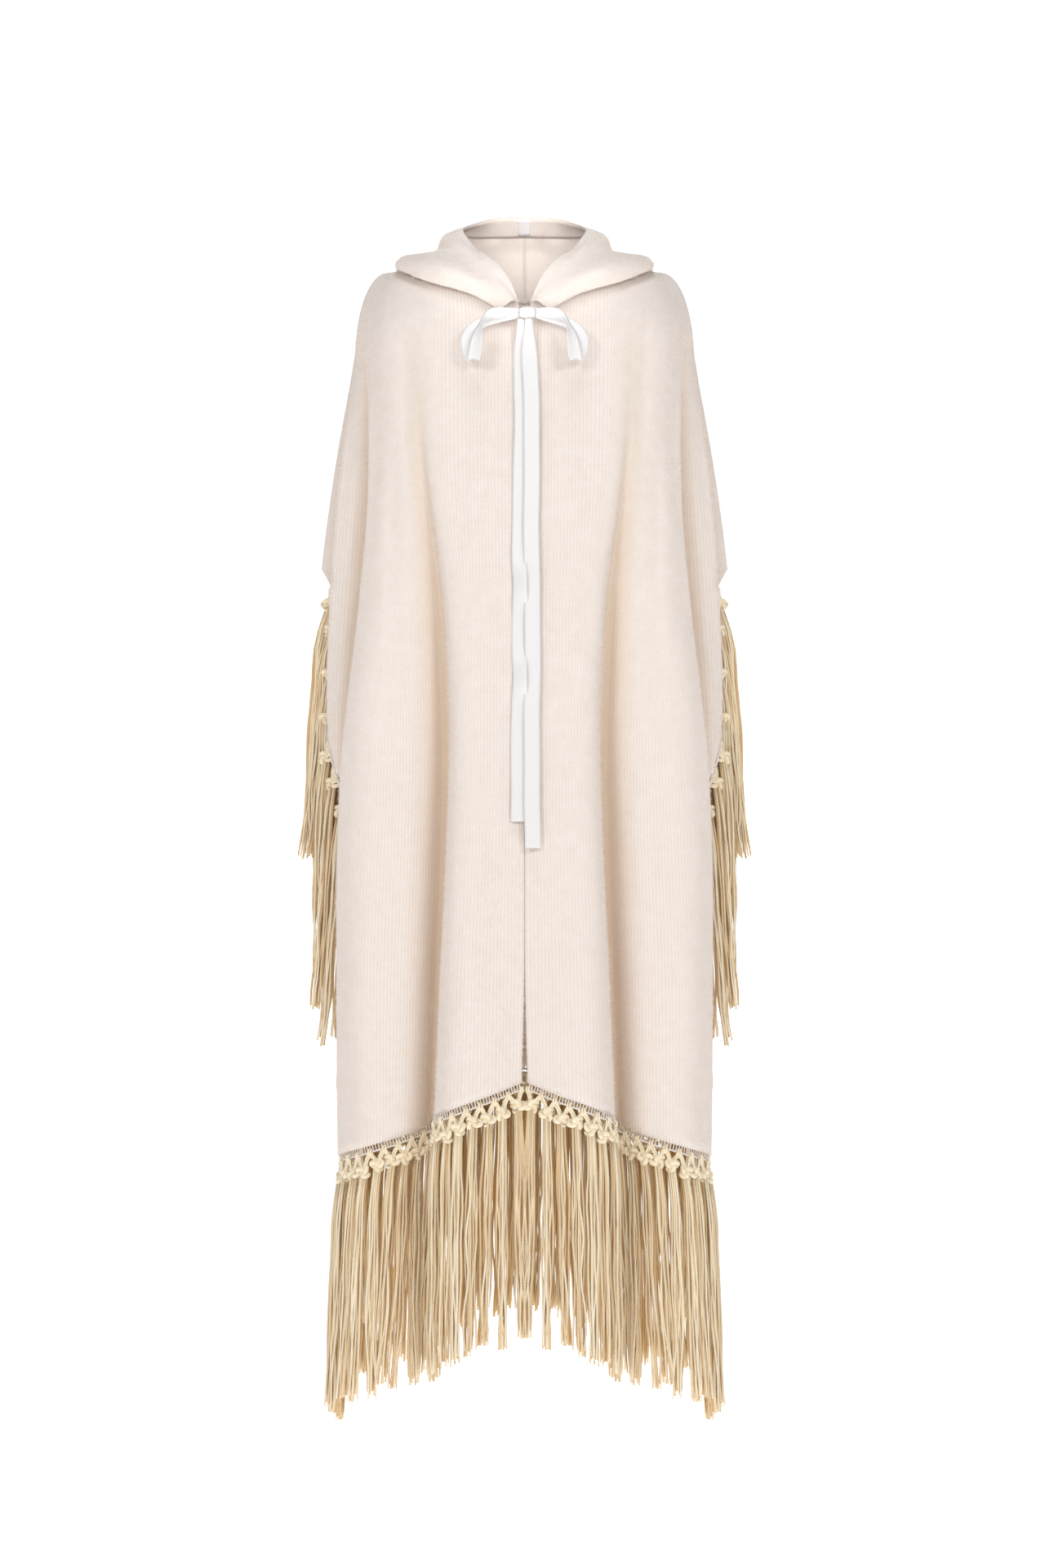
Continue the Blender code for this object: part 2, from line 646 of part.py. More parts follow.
def hem_fringe(line, lean_at):
    """The netted fringe along a hem: strip, crossing legs, knots and locks."""
    count = round(line.length / FRINGE_PITCH)
    pitch = line.length / count
    centres = [line.at((k + 0.5) * pitch)[0] for k in range(count)]
    room = [np.linalg.norm(b - a) for a, b in zip(centres, centres[1:])]
    top, bottom = STRIP_GAP, STRIP_GAP + STRIP_DEPTH
    fringe = Fringe()

    def corner(place, drop, thick, offset=0.0):
        """The front and back point under a place along the hem."""
        centre, normal = line.at(place)
        ahead = line.at(place + 1)[0] - line.at(place - 1)[0]
        across = np.cross((0, 0, 1), normal)
        across *= math.copysign(offset, np.dot(across, ahead) * offset)
        centre = centre + across - np.array((0, 0, drop))
        return fringe.add(centre + normal * thick / 2, centre - normal * thick / 2)

    def plate(*pairs):
        """A flat stretch of the net, as a front face and a back one."""
        fringe.faces.append(tuple(front for front, _ in pairs))
        fringe.faces.append(tuple(back for _, back in reversed(pairs)))

    def side(*pairs):
        for first, second in zip(pairs, pairs[1:]):
            fringe.faces.append((second[0], first[0], first[1], second[1]))

    roots = []
    for k in range(count + 1):
        start = max(k * pitch - LEG_WIDTH / 2, 0.0)
        end = min(k * pitch + LEG_WIDTH / 2, line.length)
        roots.append(
            {
                "top": (corner(start, top, CLOTH_THICK), corner(end, top, CLOTH_THICK)),
                "low": (corner(start, bottom, CLOTH_THICK), corner(end, bottom, CLOTH_THICK)),
                "fork": corner(k * pitch, bottom + LEG_WIDTH, LEG_THICK),
            }
        )
    for k, (here, there) in enumerate(zip(roots, roots[1:])):
        place = (k + 0.5) * pitch
        centre, normal = line.at(place)
        size = min(1.0, min(room[max(k - 1, 0) : k + 1]) / ROOM_WANTED)
        half, thick = KNOT_WIDTH / 2 * size, KNOT_THICK * size
        eye = corner(place, KNOT_DROP - 6, min(LEG_THICK, thick))
        shoulders = [corner(place, KNOT_DROP - 2, thick, offset) for offset in (-half, half)]
        feet = [corner(place, KNOT_DROP + 5, thick, offset) for offset in (-half, half)]
        plate(*here["top"], here["low"][1], here["low"][0])
        plate(*here["low"], here["fork"])
        plate(here["top"][1], there["top"][0], there["low"][0], here["low"][1])
        plate(here["low"][1], eye, shoulders[0], here["fork"])
        plate(eye, there["low"][0], there["fork"], shoulders[1])
        plate(shoulders[0], eye, shoulders[1], feet[1], feet[0])
        side(*here["top"], there["top"][0])
        side(there["low"][0], here["low"][1], eye, there["low"][0])
        side(feet[0], shoulders[0], here["fork"])
        side(there["fork"], shoulders[1], feet[1])
        root = (feet[0][0], feet[1][0], feet[1][1], feet[0][1])
        across = level_direction(fringe.points[root[1]] - fringe.points[root[0]])
        sizes = ((LOCK_WIDTH * size, LOCK_THICK * size), (LOCK_END_WIDTH * size, LOCK_END_THICK * size))
        knot_centre = centre - np.array((0, 0, KNOT_DROP + 5.0))
        drop = FRINGE_DROP - KNOT_DROP + uneven(k)
        fringe.lock(root, knot_centre, across, normal, lean_at(centre), drop, sizes)
    last = roots[count]
    plate(*last["top"], last["low"][1], last["low"][0])
    plate(*last["low"], last["fork"])
    side(*last["top"], last["low"][1], last["fork"])
    side(roots[0]["fork"], roots[0]["low"][0], roots[0]["top"][0])
    return fringe


def side_fringe(panel):
    """The fringe on an open side edge: a strip along it, and locks that fan out as they fall."""
    toward = 1 if panel == "front" else -1
    outer, inner = panel_grids(panel)
    rows = [k for k, z in enumerate(DROP_ROW_Z, len(CAP_ROWS)) if z <= SLEEVE_END_Z]
    edge, walls = mid_line([outer[k][-1] for k in rows], [inner[k][-1] for k in rows])
    next_column = np.array([(outer[k][-2] + inner[k][-2]) / 2 for k in rows]) - edge
    falls = -edge[:, 2]
    half = SIDE_LOCK_WIDTH / 2
    locks = {lock[0] - half: (lock, k) for k, lock in enumerate(SIDE_LOCKS)}
    heights = [lock[0] + end for lock in SIDE_LOCKS for end in (-half, half)]
    spaces = [(z - 4, z + SIDE_LOCK_WIDTH + 4) for z in locks]
    heights += [-fall for fall in falls[1:-1] if not any(low < -fall < high for low, high in spaces)]
    heights = sorted([*heights, min(heights) - 12.0, max(heights) + 4.0])

    def on_edge(values):
        return [np.array([np.interp(-z, falls, values[:, axis]) for axis in range(3)]) for z in heights]

    points, normals, inward = on_edge(edge), on_edge(walls), on_edge(next_column)
    fringe = Fringe()
    rings, outs = [], []
    for k, (point, normal) in enumerate(zip(points, normals)):
        along = points[min(k + 1, len(points) - 1)] - points[max(k - 1, 0)]
        along /= np.linalg.norm(along)
        out = np.cross(along, normal)
        out /= np.linalg.norm(out)
        if np.dot(out, inward[k]) > 0:
            out = -out
        through = normal * CLOTH_THICK / 2
        near, far = point + out * SIDE_STRIP_GAP, point + out * (SIDE_STRIP_GAP + STRIP_DEPTH)
        rings.append(fringe.add(near + through, near - through, far - through, far + through))
        outs.append((out, normal))
    fringe.faces.append(rings[0][::-1])
    fringe.faces.append(rings[-1])
    for k in range(len(rings) - 1):
        a, b = rings[k], rings[k + 1]
        for i in range(4):
            n = (i + 1) % 4
            if i == 2 and heights[k] in locks:
                continue
            fringe.faces.append((a[i], a[n], b[n], b[i]))
        if heights[k] not in locks:
            continue
        (_, knot_x, knot_y, end_x, end_y), number = locks[heights[k]]
        root = (b[3], a[3], a[2], b[2])
        centre = np.mean([fringe.points[i] for i in root], axis=0)
        knot = centre + np.array((knot_x, toward * knot_y, -10.0))
        across, through = np.array((0.0, 1.0, 0.0)), np.array((1.0, 0.0, 0.0))
        knot_ring = fringe.ring(knot, across, through, SIDE_LOCK_WIDTH + 1, SIDE_LOCK_THICK + 1)
        knot_ring = matched(fringe, root, knot_ring)
        fringe.join(root, knot_ring)
        across = fringe.points[knot_ring[1]] - fringe.points[knot_ring[0]]
        through = fringe.points[knot_ring[0]] - fringe.points[knot_ring[3]]
        wide, thick = np.linalg.norm(across), np.linalg.norm(through)
        sizes = ((wide - 1, thick - 1), (wide - 2, thick - 2))
        drop = FRINGE_DROP - KNOT_DROP + uneven(number)
        fringe.lock(knot_ring, knot, across / wide, through / thick, (end_x, toward * end_y), drop, sizes)
    return fringe


def facing(corners, direction):
    """Whether a ring of corners turns one way or the other, looking along a direction."""
    return np.dot(np.cross(corners[1] - corners[0], corners[2] - corners[1]), direction) > 0


def matched(fringe, root, ring):
    """The ring's corners turned so that each lies nearest its own corner of the root, with no twist."""
    start, end = ([fringe.points[i] for i in corners] for corners in (root, ring))
    if facing(start, np.mean(end, axis=0) - np.mean(start, axis=0)) != facing(end, (0.0, 0.0, -1.0)):
        ring = ring[::-1]
    turns = [ring[k:] + ring[:k] for k in range(4)]
    return min(
        turns,
        key=lambda turn: sum(np.linalg.norm(fringe.points[a] - fringe.points[b]) for a, b in zip(root, turn)),
    )


def lean_at_hem(point):
    return HEM_LEAN * point[0] / 220, 0.0


def make_fringes():
    outer, inner = panel_grids("front")
    line = Line(*mid_line(outer[-1], inner[-1]))
    left = hem_fringe(line, lean_at_hem).build("fringe_hem_front_left")
    mirrored(left, "fringe_hem_front_right")
    outer, inner = panel_grids("back")
    line = Line(*mid_line(whole_from_half(outer)[-1], whole_from_half(inner)[-1]))
    hem_fringe(line, lean_at_hem).build("fringe_hem_back")
    for panel in ("front", "back"):
        left = side_fringe(panel).build(f"fringe_side_{panel}_left")
        mirrored(left, f"fringe_side_{panel}_right")


def main():
    clear_scene()
    collection = bpy.data.collections.new("hooded poncho")
    bpy.context.scene.collection.children.link(collection)
    make_panels()
    make_hood()
    make_hood_band()
    make_hood_tape()
    make_loops()
    make_knot()
    make_tails()
    make_fringes()


main()
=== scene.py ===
"""Dresses the hooded knitted poncho: brushed rib knit, a knotted yarn fringe and a satin ribbon bow.

The wearer faces -Y, +X is the wearer's left and +Z is up. Sizes and points are worked out in millimetres and
turned to metres as each mesh is made.
"""

import logging
import math
from dataclasses import dataclass, field
from enum import Enum

import bpy
import numpy as np
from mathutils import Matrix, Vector, kdtree

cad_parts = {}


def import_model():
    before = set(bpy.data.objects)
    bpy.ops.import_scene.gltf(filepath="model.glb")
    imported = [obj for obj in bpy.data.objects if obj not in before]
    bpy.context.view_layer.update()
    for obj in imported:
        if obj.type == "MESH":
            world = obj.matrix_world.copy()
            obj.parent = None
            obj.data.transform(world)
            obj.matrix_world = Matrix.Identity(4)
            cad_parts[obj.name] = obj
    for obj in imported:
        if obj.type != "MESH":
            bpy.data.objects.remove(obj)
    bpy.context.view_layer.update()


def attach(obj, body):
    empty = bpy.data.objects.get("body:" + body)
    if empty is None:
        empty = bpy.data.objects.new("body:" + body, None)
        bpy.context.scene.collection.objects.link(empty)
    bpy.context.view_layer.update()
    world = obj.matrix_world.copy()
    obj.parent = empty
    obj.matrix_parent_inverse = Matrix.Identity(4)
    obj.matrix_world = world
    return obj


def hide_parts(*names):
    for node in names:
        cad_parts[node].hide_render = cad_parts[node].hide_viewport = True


Array, Piece, Material = np.ndarray, bpy.types.Object, bpy.types.Material
MM = 0.001
BODY = "root"
log = logging.getLogger("poncho")


class Side(Enum):
    """The two cloths of the poncho."""

    FRONT = "front"
    BACK = "back"


class Hold(Enum):
    HUNG = "hung"
    FOLDED = "folded"


FRONT, BACK = Side.FRONT, Side.BACK


# The cloth's shape. Each rail is a line down the cloth, a fold's crest, rim or valley: x and y at each level.
LEVELS = (-100.0, -250.0, -400.0, -600.0, -850.0, -1110.0)
FRONT_RAILS = (
    ("front edge", (1, 1, 1, 1, 2, 6), (-124, -140, -150, -160, -168, -172)),
    ("inner lobe", (36, 36, 34, 33, 37, 41), (-125, -143, -155, -167, -178, -184)),
    ("inner crest", (72, 72, 67, 65, 73, 81), (-122, -140, -156, -169, -181, -186)),
    ("inner rim", (108, 104, 91, 87, 98, 110), (-117, -133, -145, -152, -158, -158)),
    ("inner valley", (130, 124, 105, 95, 102, 112), (-111, -123, -122, -114, -107, -101)),
    ("outer rise", (151, 147, 141, 137, 143, 148), (-102, -115, -121, -122, -125, -122)),
    ("outer crest", (171, 168, 172, 182, 191, 190), (-87, -104, -113, -119, -124, -118)),
    ("outer rim", (187, 184, 195, 217, 224, 222), (-66, -84, -88, -89, -86, -78)),
    ("outer valley", (194, 186, 191, 206, 209, 208), (-47, -59, -59, -54, -50, -46)),
    ("strip crest", (199, 206, 216, 226, 204, 202), (-34, -50, -52, -50, -34, -32)),
    ("strip rim", (203, 223, 234, 237, 202, 200), (-22, -36, -36, -36, -26, -24)),
    ("sleeve valley", (206, 226, 236, 234, 200, 198), (-11, -16, -17, -17, -20, -18)),
    ("sleeve fold", (207, 234, 252, 258, 210, 205), (0, 0, 0, 0, -12, -12)),
)
BACK_RAILS = (
    ("centre back", (0, 0, 0, 0, 0, 0), (102, 113, 117, 119, 121, 123)),
    ("centre lobe", (32, 31, 29, 28, 30, 32), (102, 114, 121, 127, 132, 135)),
    ("inner crest", (62, 62, 57, 54, 58, 62), (100, 113, 124, 133, 142, 148)),
    ("inner rim", (90, 88, 79, 74, 80, 87), (97, 109, 118, 126, 134, 138)),
    ("inner valley", (112, 108, 94, 86, 91, 97), (92, 99, 98, 94, 91, 89)),
    ("outer rise", (135, 132, 126, 121, 124, 129), (84, 93, 99, 104, 109, 111)),
    ("outer crest", (160, 159, 161, 166, 170, 173), (72, 85, 94, 103, 111, 113)),
    ("outer rim", (180, 180, 190, 205, 213, 215), (56, 68, 75, 80, 82, 80)),
    ("outer valley", (192, 187, 190, 197, 200, 201), (40, 47, 49, 49, 47, 46)),
    ("strip crest", (198, 208, 215, 222, 196, 196), (29, 42, 45, 45, 32, 31)),
    ("strip rim", (203, 223, 234, 237, 194, 194), (20, 32, 34, 35, 25, 24)),
    ("sleeve valley", (206, 227, 238, 236, 192, 192), (10, 15, 16, 17, 20, 18)),
    ("sleeve fold", (207, 234, 252, 258, 200, 198), (0, 0, 0, 0, 12, 12)),
)
# Rails by number: the sleeve fold, the outer rim, the shoulder's corner and the end of the back neckline
LAST_RAIL, RIM_RAIL, CORNER_RAIL, NECK_RAIL = 12.0, 7.0, 11.0, 4.0
# Heights of row 1, of row 2 at the middle and of the sleeve's end, and how much the hem falls a rail
CHEST_Z, FRONT_HEM_Z, SLEEVE_END_Z, HEM_FALL_PER_RAIL = -100.0, -981.0, -362.0, 13.5
# The cloth's length over the shoulder, from row 0 to row 1
CAP_LENGTH = 110.0
# The shoulder seam's two ends, and the back's neckline at the middle
NECK_X, NECK_Z, CORNER_X, CORNER_Z = 75.0, 12.0, 168.0, 1.0
BACK_NECK_Y, BACK_NECK_Z = 64.0, -30.0
# How far sewn pieces stand apart, and the two sides of the sleeve's fold
SEAM_GAP, SLEEVE_GAP = 0.3, 0.8
CLOTH_THICK = 2.5
RIB_PITCH = 3.8
# How high the open row of stitches is, between the cloth and the fringe's header cord
HEM_OPEN = {FRONT: 5.0, BACK: 1.5}

# Where the cloth ends at its side: the height, and the rail of its edge there
SIDE_EDGE = (
    (SLEEVE_END_Z, 12.0),
    (-384.0, 11.0),
    (-460.0, 10.75),
    (-530.0, 10.45),
    (-568.0, 10.0),
    (-600.0, 9.3),
    (-632.0, 8.6),
    (-700.0, 8.35),
    (-1110.0, 8.3),
)
# The big folds' valleys, which get painted shade: the rail at the bottom of each, and its half width in rails
SHADED_VALLEYS = ((4.0, 0.55), (8.25, 0.6), (11.0, 0.4))
# The rows over the shoulder, and the heights below it where the cloth needs a row
CAP_ROWS = (0.0, 0.2, 0.4, 0.6, 0.8, 1.0)
DROP_ROW_Z = (-170, -260, SLEEVE_END_Z, -384, -450, -520, -568, -600, -632, -710, -800, -890, FRONT_HEM_Z)

# Small folds over the big ones: the side, the rail at the top and at the hem, the rows where each starts and
# ends, how deep it is (a minus stands out) and its half width in rails
SMALL_FOLDS = (
    (FRONT, 0.62, 0.74, 0.6, 2.0, 0.45, 0.10),
    (FRONT, 2.2, 1.5, 1.05, 1.75, 1.6, 0.40),
    (FRONT, 3.3, 2.75, 1.25, 2.0, 1.4, 0.30),
    (FRONT, 5.6, 5.3, 1.1, 1.95, 2.2, 0.35),
    (FRONT, 6.5, 6.25, 1.3, 2.0, -1.6, 0.30),
    (FRONT, 4.9, 4.4, 0.75, 1.35, 1.5, 0.35),
    (FRONT, 9.2, 9.0, 0.9, 1.6, -1.5, 0.40),
    (FRONT, 3.95, 3.95, 1.05, 2.0, 8.0, 0.30),
    (FRONT, 7.05, 7.05, 0.9, 2.0, -2.2, 0.26),
    (FRONT, 8.0, 8.0, 0.9, 1.64, 8.0, 0.34),
    (FRONT, 9.9, 9.9, 1.0, 1.62, -1.5, 0.30),
    (BACK, 1.5, 1.1, 0.9, 2.0, 1.8, 0.35),
    (BACK, 2.7, 2.6, 1.2, 2.0, -1.4, 0.30),
    (BACK, 5.4, 5.2, 1.0, 2.0, 2.0, 0.35),
    (BACK, 6.4, 6.3, 1.3, 2.0, -1.6, 0.30),
)

# A hanging cloth's unevenness, as waves: the height, the turn a row and a rail, and the turn at the start
SLOW_WAVES = ((0.55, 7.3, 1.9, 0.0), (0.45, 11.0, -1.3, 2.0), (0.22, 23.0, 3.1, 1.0), (0.18, 31.0, -4.3, 0.0))

# The hood's sections, from the throat to the centre back: where each is sewn to a panel and where its outer
# fold lies, as (side, row, rail), how high the bag stands and at what share of the way, and the points of its
# roof, crease, rolled rim and face edge
HOOD_SECTIONS = (
    ("throat", (FRONT, 0.78, 0.05), (FRONT, 0.80, 0.75), 13, 0.87,
     (21, -134, -57), (17, -134, -53), (12, -131, -51), (7, -127, -52)),
    ("lapel", (FRONT, 0.60, 0.1), (FRONT, 0.67, 1.7), 15, 0.87,
     (48, -121, -33), (37, -114, -27), (30, -105, -21), (21, -95, -23)),
    ("collar", (FRONT, 0.40, 0.1), (FRONT, 0.53, 3.7), 16, 0.87,
     (95, -99, -6), (68, -78, 2), (56, -64, 10), (43, -54, 6)),
    ("shoulder front", (FRONT, 0.15, 0.1), (FRONT, 0.33, 6.4), 16, 0.87,
     (122, -42, 16), (93, -25, 25), (80, -9, 38), (61, -5, 33)),
    ("shoulder", (BACK, 0.04, 4.2), (BACK, 0.22, 8.9), 17, 0.9,
     (128, 22, 24), (104, 28, 34), (99, 36, 49), (75, 38, 57)),
    ("back corner", (BACK, 0.04, 2.7), (BACK, 0.92, 6.2), 36, 0.94,
     (140, 96, -4), (106, 86, 42), (95, 82, 62), (72, 76, 71)),
    ("back quarter", (BACK, 0.04, 1.4), (BACK, 1.10, 3.0), 52, 0.95,
     (92, 160, -38), (64, 136, 45), (56, 120, 68), (43, 107, 85)),
    ("centre back", (BACK, 0.04, 0.0), (BACK, 1.13, 0.0), 58, 0.95,
     (0, 180, -48), (0, 150, 46), (0, 132, 71), (0, 120, 90)),
)
# How far the hood's underside lies off the cloth, and the share of the bag's height at which it turns upward
HOOD_UNDER_LIFT, HOOD_TURN_SHARE = 4.5, 0.4
# The least room between hood and cloth at shares of its rows, and how near the cloth is where that counts
HOOD_CLEARANCE = ((0.0, 2.2), (0.12, 5.6), (0.3, 5.6), (0.5, 13.5), (1.0, 12.0))
CLEARANCE_REACH = 25.0

# A strand's flat width round itself, and the step that keeps its neighbour's ply from lining up, in metres
STRAND_ROUND, STRAND_SHIFT = 0.006, 0.0137
# How much longer or shorter than the others a tassel may be
TASSEL_UNEVEN = 9.0
# How far Blender's wave texture turns, in radians, for each unit of its scale
WAVE_TURN = 20.0
# The sockets of a colour mix: its share, its two colours and its result
MIX_SHARE, MIX_FIRST, MIX_SECOND, MIX_RESULT = 0, 6, 7, 2
UP = np.array((0.0, 0.0, 1.0))
LEVEL = np.array((1.0, 1.0, 0.0))
MIRROR = np.array((-1.0, 1.0, 1.0))


def ramp(value: Array) -> Array:
    """0 to 1, smooth at both ends."""
    value = np.clip(value, 0.0, 1.0)
    return value * value * (3 - 2 * value)


def unit(vectors: Array) -> Array:
    """The same directions at length 1."""
    return vectors / np.maximum(np.linalg.norm(vectors, axis=-1, keepdims=True), 1e-9)


def curve_weights(knots: Array, places: Array) -> Array:
    """How much each knot's value counts in the smooth curve through them.

    Args:
        knots: where the curve's values stand, rising.
        places: where it is read.

    Returns:
        One row of weights for each place.
    """
    knots = np.asarray(knots, float)
    places = np.clip(np.asarray(places, float), knots[0], knots[-1])
    count = len(knots)
    slope = np.zeros((count, count))
    for k in range(count):
        low, high = max(k - 1, 0), min(k + 1, count - 1)
        slope[k, high] += 1 / (knots[high] - knots[low])
        slope[k, low] -= 1 / (knots[high] - knots[low])
    left = np.clip(np.searchsorted(knots, places, side="right") - 1, 0, count - 2)
    wide = knots[left + 1] - knots[left]
    t = (places - knots[left]) / wide
    weights = ((t**3 - 2 * t**2 + t) * wide)[:, None] * slope[left]
    weights += ((t**3 - t**2) * wide)[:, None] * slope[left + 1]
    at = np.arange(len(places))
    weights[at, left] += 2 * t**3 - 3 * t**2 + 1
    weights[at, left + 1] += 3 * t**2 - 2 * t**3
    return weights


def smooth_curve(knots: Array, values: Array, places: Array) -> Array:
    """The smooth curve through the values, read at the places."""
    return curve_weights(knots, places) @ np.asarray(values, float)


def linear_from_hex(code: str) -> tuple[float, float, float, float]:
    """Turns an sRGB colour to linear.

    Args:
        code: the colour, such as #f3e9e7.

    Returns:
        Linear red, green and blue, and full opacity.
    """
    shades = [int(code[k : k + 2], 16) / 255 for k in (1, 3, 5)]
    linear = [s / 12.92 if s <= 0.04045 else ((s + 0.055) / 1.055) ** 2.4 for s in shades]
    return (*linear, 1.0)


def run_length(points: Array) -> Array:
    """The length along a line of points, from 0."""
    return np.concatenate([[0.0], np.cumsum(np.linalg.norm(np.diff(points, axis=0), axis=1))])


def read_along(places: Array, marks: Array, values: Array) -> Array:
    """The rows of x, y and z that stand at the rising marks, read at places between them."""
    return np.stack([np.interp(places, marks, values[:, k]) for k in range(3)], axis=-1)


def flat_places(across: Array, down: Array) -> Array:
    """A grid's places on the flat cloth in metres, from its columns' and its rows' places in millimetres."""
    return np.stack(np.broadcast_arrays(across[None, :] * MM, down[:, None] * MM), axis=-1)


def whole(grid: Array) -> Array:
    """A grid that starts on the middle, continued on the other side of it."""
    flip = MIRROR[: grid.shape[-1]]
    return np.concatenate([grid[:, :0:-1] * flip, grid], axis=1)


@dataclass
class MeshParts:
    """Points in millimetres and the faces between them, gathered from several sources."""

    points: list[Array] = field(default_factory=list)
    quads: list[Array] = field(default_factory=list)
    triangles: list[Array] = field(default_factory=list)
    uvs: list[Array] = field(default_factory=list)
    painted_shade_depths: list[Array] = field(default_factory=list)
    count: int = 0

    def add(
        self,
        points: Array,
        quads: Array | None = None,
        triangles: Array | None = None,
        uvs: Array | None = None,
        painted_shade_depths: Array | None = None,
    ) -> None:
        """Adds points and the faces that join them.

        Args:
            points: positions in millimetres.
            quads: four indexes a row into these points.
            triangles: three indexes a row into these points.
            uvs: for each point, where it lies on the flat cloth or along the yarn, in metres.
            painted_shade_depths: for each point, how much painted shade it gets, 0 to 1, by how deep it lies
                in a fold of cloth or within a tassel.
        """
        points = points.reshape(-1, 3)
        if quads is not None:
            self.quads.append(quads + self.count)
        if triangles is not None:
            self.triangles.append(triangles + self.count)
        self.points.append(points)
        self.uvs.append(np.zeros((len(points), 2)) if uvs is None else uvs.reshape(-1, 2))
        self.painted_shade_depths.append(np.zeros(len(points)) if painted_shade_depths is None else painted_shade_depths)
        self.count += len(points)

    def mirrored(self) -> "MeshParts":
        """Copies the parts to the other side of the middle.

        Returns:
            Their mirror image, with its faces still outward.
        """
        return MeshParts(
            points=[points * MIRROR for points in self.points],
            quads=[quads[:, ::-1] for quads in self.quads],
            triangles=[triangles[:, ::-1] for triangles in self.triangles],
            uvs=self.uvs,
            painted_shade_depths=self.painted_shade_depths,
            count=self.count,
        )

    def build(self, name: str, finish: Material) -> Piece:
        """Makes one object of everything added.

        Args:
            name: the piece's name.
            finish: its material.

        Returns:
            The new object, linked to the scene.
        """
        points = np.concatenate(self.points) * MM
        uvs = np.concatenate(self.uvs)
        quads = np.concatenate(self.quads) if self.quads else np.zeros((0, 4), int)
        triangles = np.concatenate(self.triangles) if self.triangles else np.zeros((0, 3), int)
        corners = np.concatenate([quads.ravel(), triangles.ravel()]).astype(np.int32)
        sizes = np.concatenate([np.full(len(quads), 4), np.full(len(triangles), 3)]).astype(np.int32)
        mesh = bpy.data.meshes.new(name)
        mesh.vertices.add(len(points))
        mesh.vertices.foreach_set("co", points.astype(np.float32).ravel())
        mesh.loops.add(len(corners))
        mesh.loops.foreach_set("vertex_index", corners)
        mesh.polygons.add(len(sizes))
        mesh.polygons.foreach_set("loop_start", (np.cumsum(sizes) - sizes).astype(np.int32))
        mesh.update(calc_edges=True)
        mesh.polygons.foreach_set("use_smooth", np.ones(len(sizes), bool))
        layer = mesh.uv_layers.new(name="cloth")
        layer.data.foreach_set("uv", uvs[corners].astype(np.float32).ravel())
        # The hollow attribute carries painted shade: the knit's fold valleys and inner faces, and the deep
        # strands of a tassel
        depths = mesh.attributes.new("hollow", "FLOAT", "POINT")
        depths.data.foreach_set("value", np.concatenate(self.painted_shade_depths).astype(np.float32))
        mesh.validate()
        mesh.materials.append(finish)
        obj = bpy.data.objects.new(name, mesh)
        bpy.context.scene.collection.objects.link(obj)
        log.info("%s: %d triangles", name, 2 * len(quads) + len(triangles))
        return obj

    def build_pair(self, name: str, finish: Material) -> list[Piece]:
        """Makes the piece on the wearer's left, and its mirror image on the right."""
        return [self.build(f"{name}_left", finish), self.mirrored().build(f"{name}_right", finish)]

    def build_for(self, side: Side, name: str, back_name: str, finish: Material) -> list[Piece]:
        """Makes a cloth's pieces: a pair of that name in front, or one across the back."""
        return self.build_pair(name, finish) if side is FRONT else [self.build(back_name, finish)]


def stand_for(piece: Piece, node: str) -> None:
    """Says what a piece is to the part.

    Args:
        piece: the scene's piece, which rides on the body.
        node: the CAD node that it stands for.
    """
    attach(piece, BODY)
    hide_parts(node)


def grid_quads(rows: int, columns: int, first: int = 0) -> Array:
    """The four corners of each cell in a grid of points, counted row by row."""
    at = first + np.arange(rows * columns).reshape(rows, columns)
    return np.stack([at[:-1, :-1], at[1:, :-1], at[1:, 1:], at[:-1, 1:]], axis=-1).reshape(-1, 4)


def cloth_shell(
    parts: MeshParts,
    outer: Array,
    inner: Array,
    uv: Array,
    step: int = 1,
    turn_out: bool = False,
    painted_shade_depths: Array | None = None,
) -> None:
    """Adds a closed cloth whose inner face has one column for every few of the outer face.

    Args:
        parts: where the shell goes.
        outer: the outer face's points, [row][column].
        inner: the inner face's points at every step-th column.
        uv: the outer points' places on the flat cloth, in metres.
        step: how many outer columns one inner column stands for.
        turn_out: whether the outer face looks the other way from rows down and columns toward +X.
        painted_shade_depths: how much painted shade each outer point gets, 0 to 1, by how far down it lies in
            a big fold. The inner face then gets the full painted shade, 1.
    """
    rows, wide, narrow = outer.shape[0], outer.shape[1], inner.shape[1]
    half = rows * wide
    out, ins = np.arange(half).reshape(rows, wide), half + np.arange(rows * narrow).reshape(rows, narrow)
    quads = [grid_quads(rows, wide), grid_quads(rows, narrow, half)[:, ::-1]]
    for j, k, turned in ((0, 0, True), (wide - 1, narrow - 1, False)):
        rim = np.stack([out[:-1, j], out[1:, j], ins[1:, k], ins[:-1, k]], axis=-1)
        quads.append(rim[:, ::-1] if turned else rim)
    triangles = []
    for row, turned in ((0, False), (rows - 1, True)):
        for k in range(narrow - 1):
            fan = [(out[row, k * step + i], out[row, k * step + i + 1], ins[row, k]) for i in range(step)]
            fan.append((out[row, (k + 1) * step], ins[row, k + 1], ins[row, k]))
            triangles += [face[::-1] if turned else face for face in fan]
    points = np.concatenate([outer.reshape(-1, 3), inner.reshape(-1, 3)])
    uvs = np.concatenate([uv.reshape(-1, 2), uv[:, ::step].reshape(-1, 2)])
    way = -1 if turn_out else 1
    depths = np.zeros(len(points))
    if painted_shade_depths is not None:
        # The inner face gets the full painted shade
        depths = np.concatenate([painted_shade_depths.ravel(), np.ones(rows * narrow)])
    parts.add(points, np.concatenate(quads)[:, ::way], np.array(triangles)[:, ::way], uvs, depths)


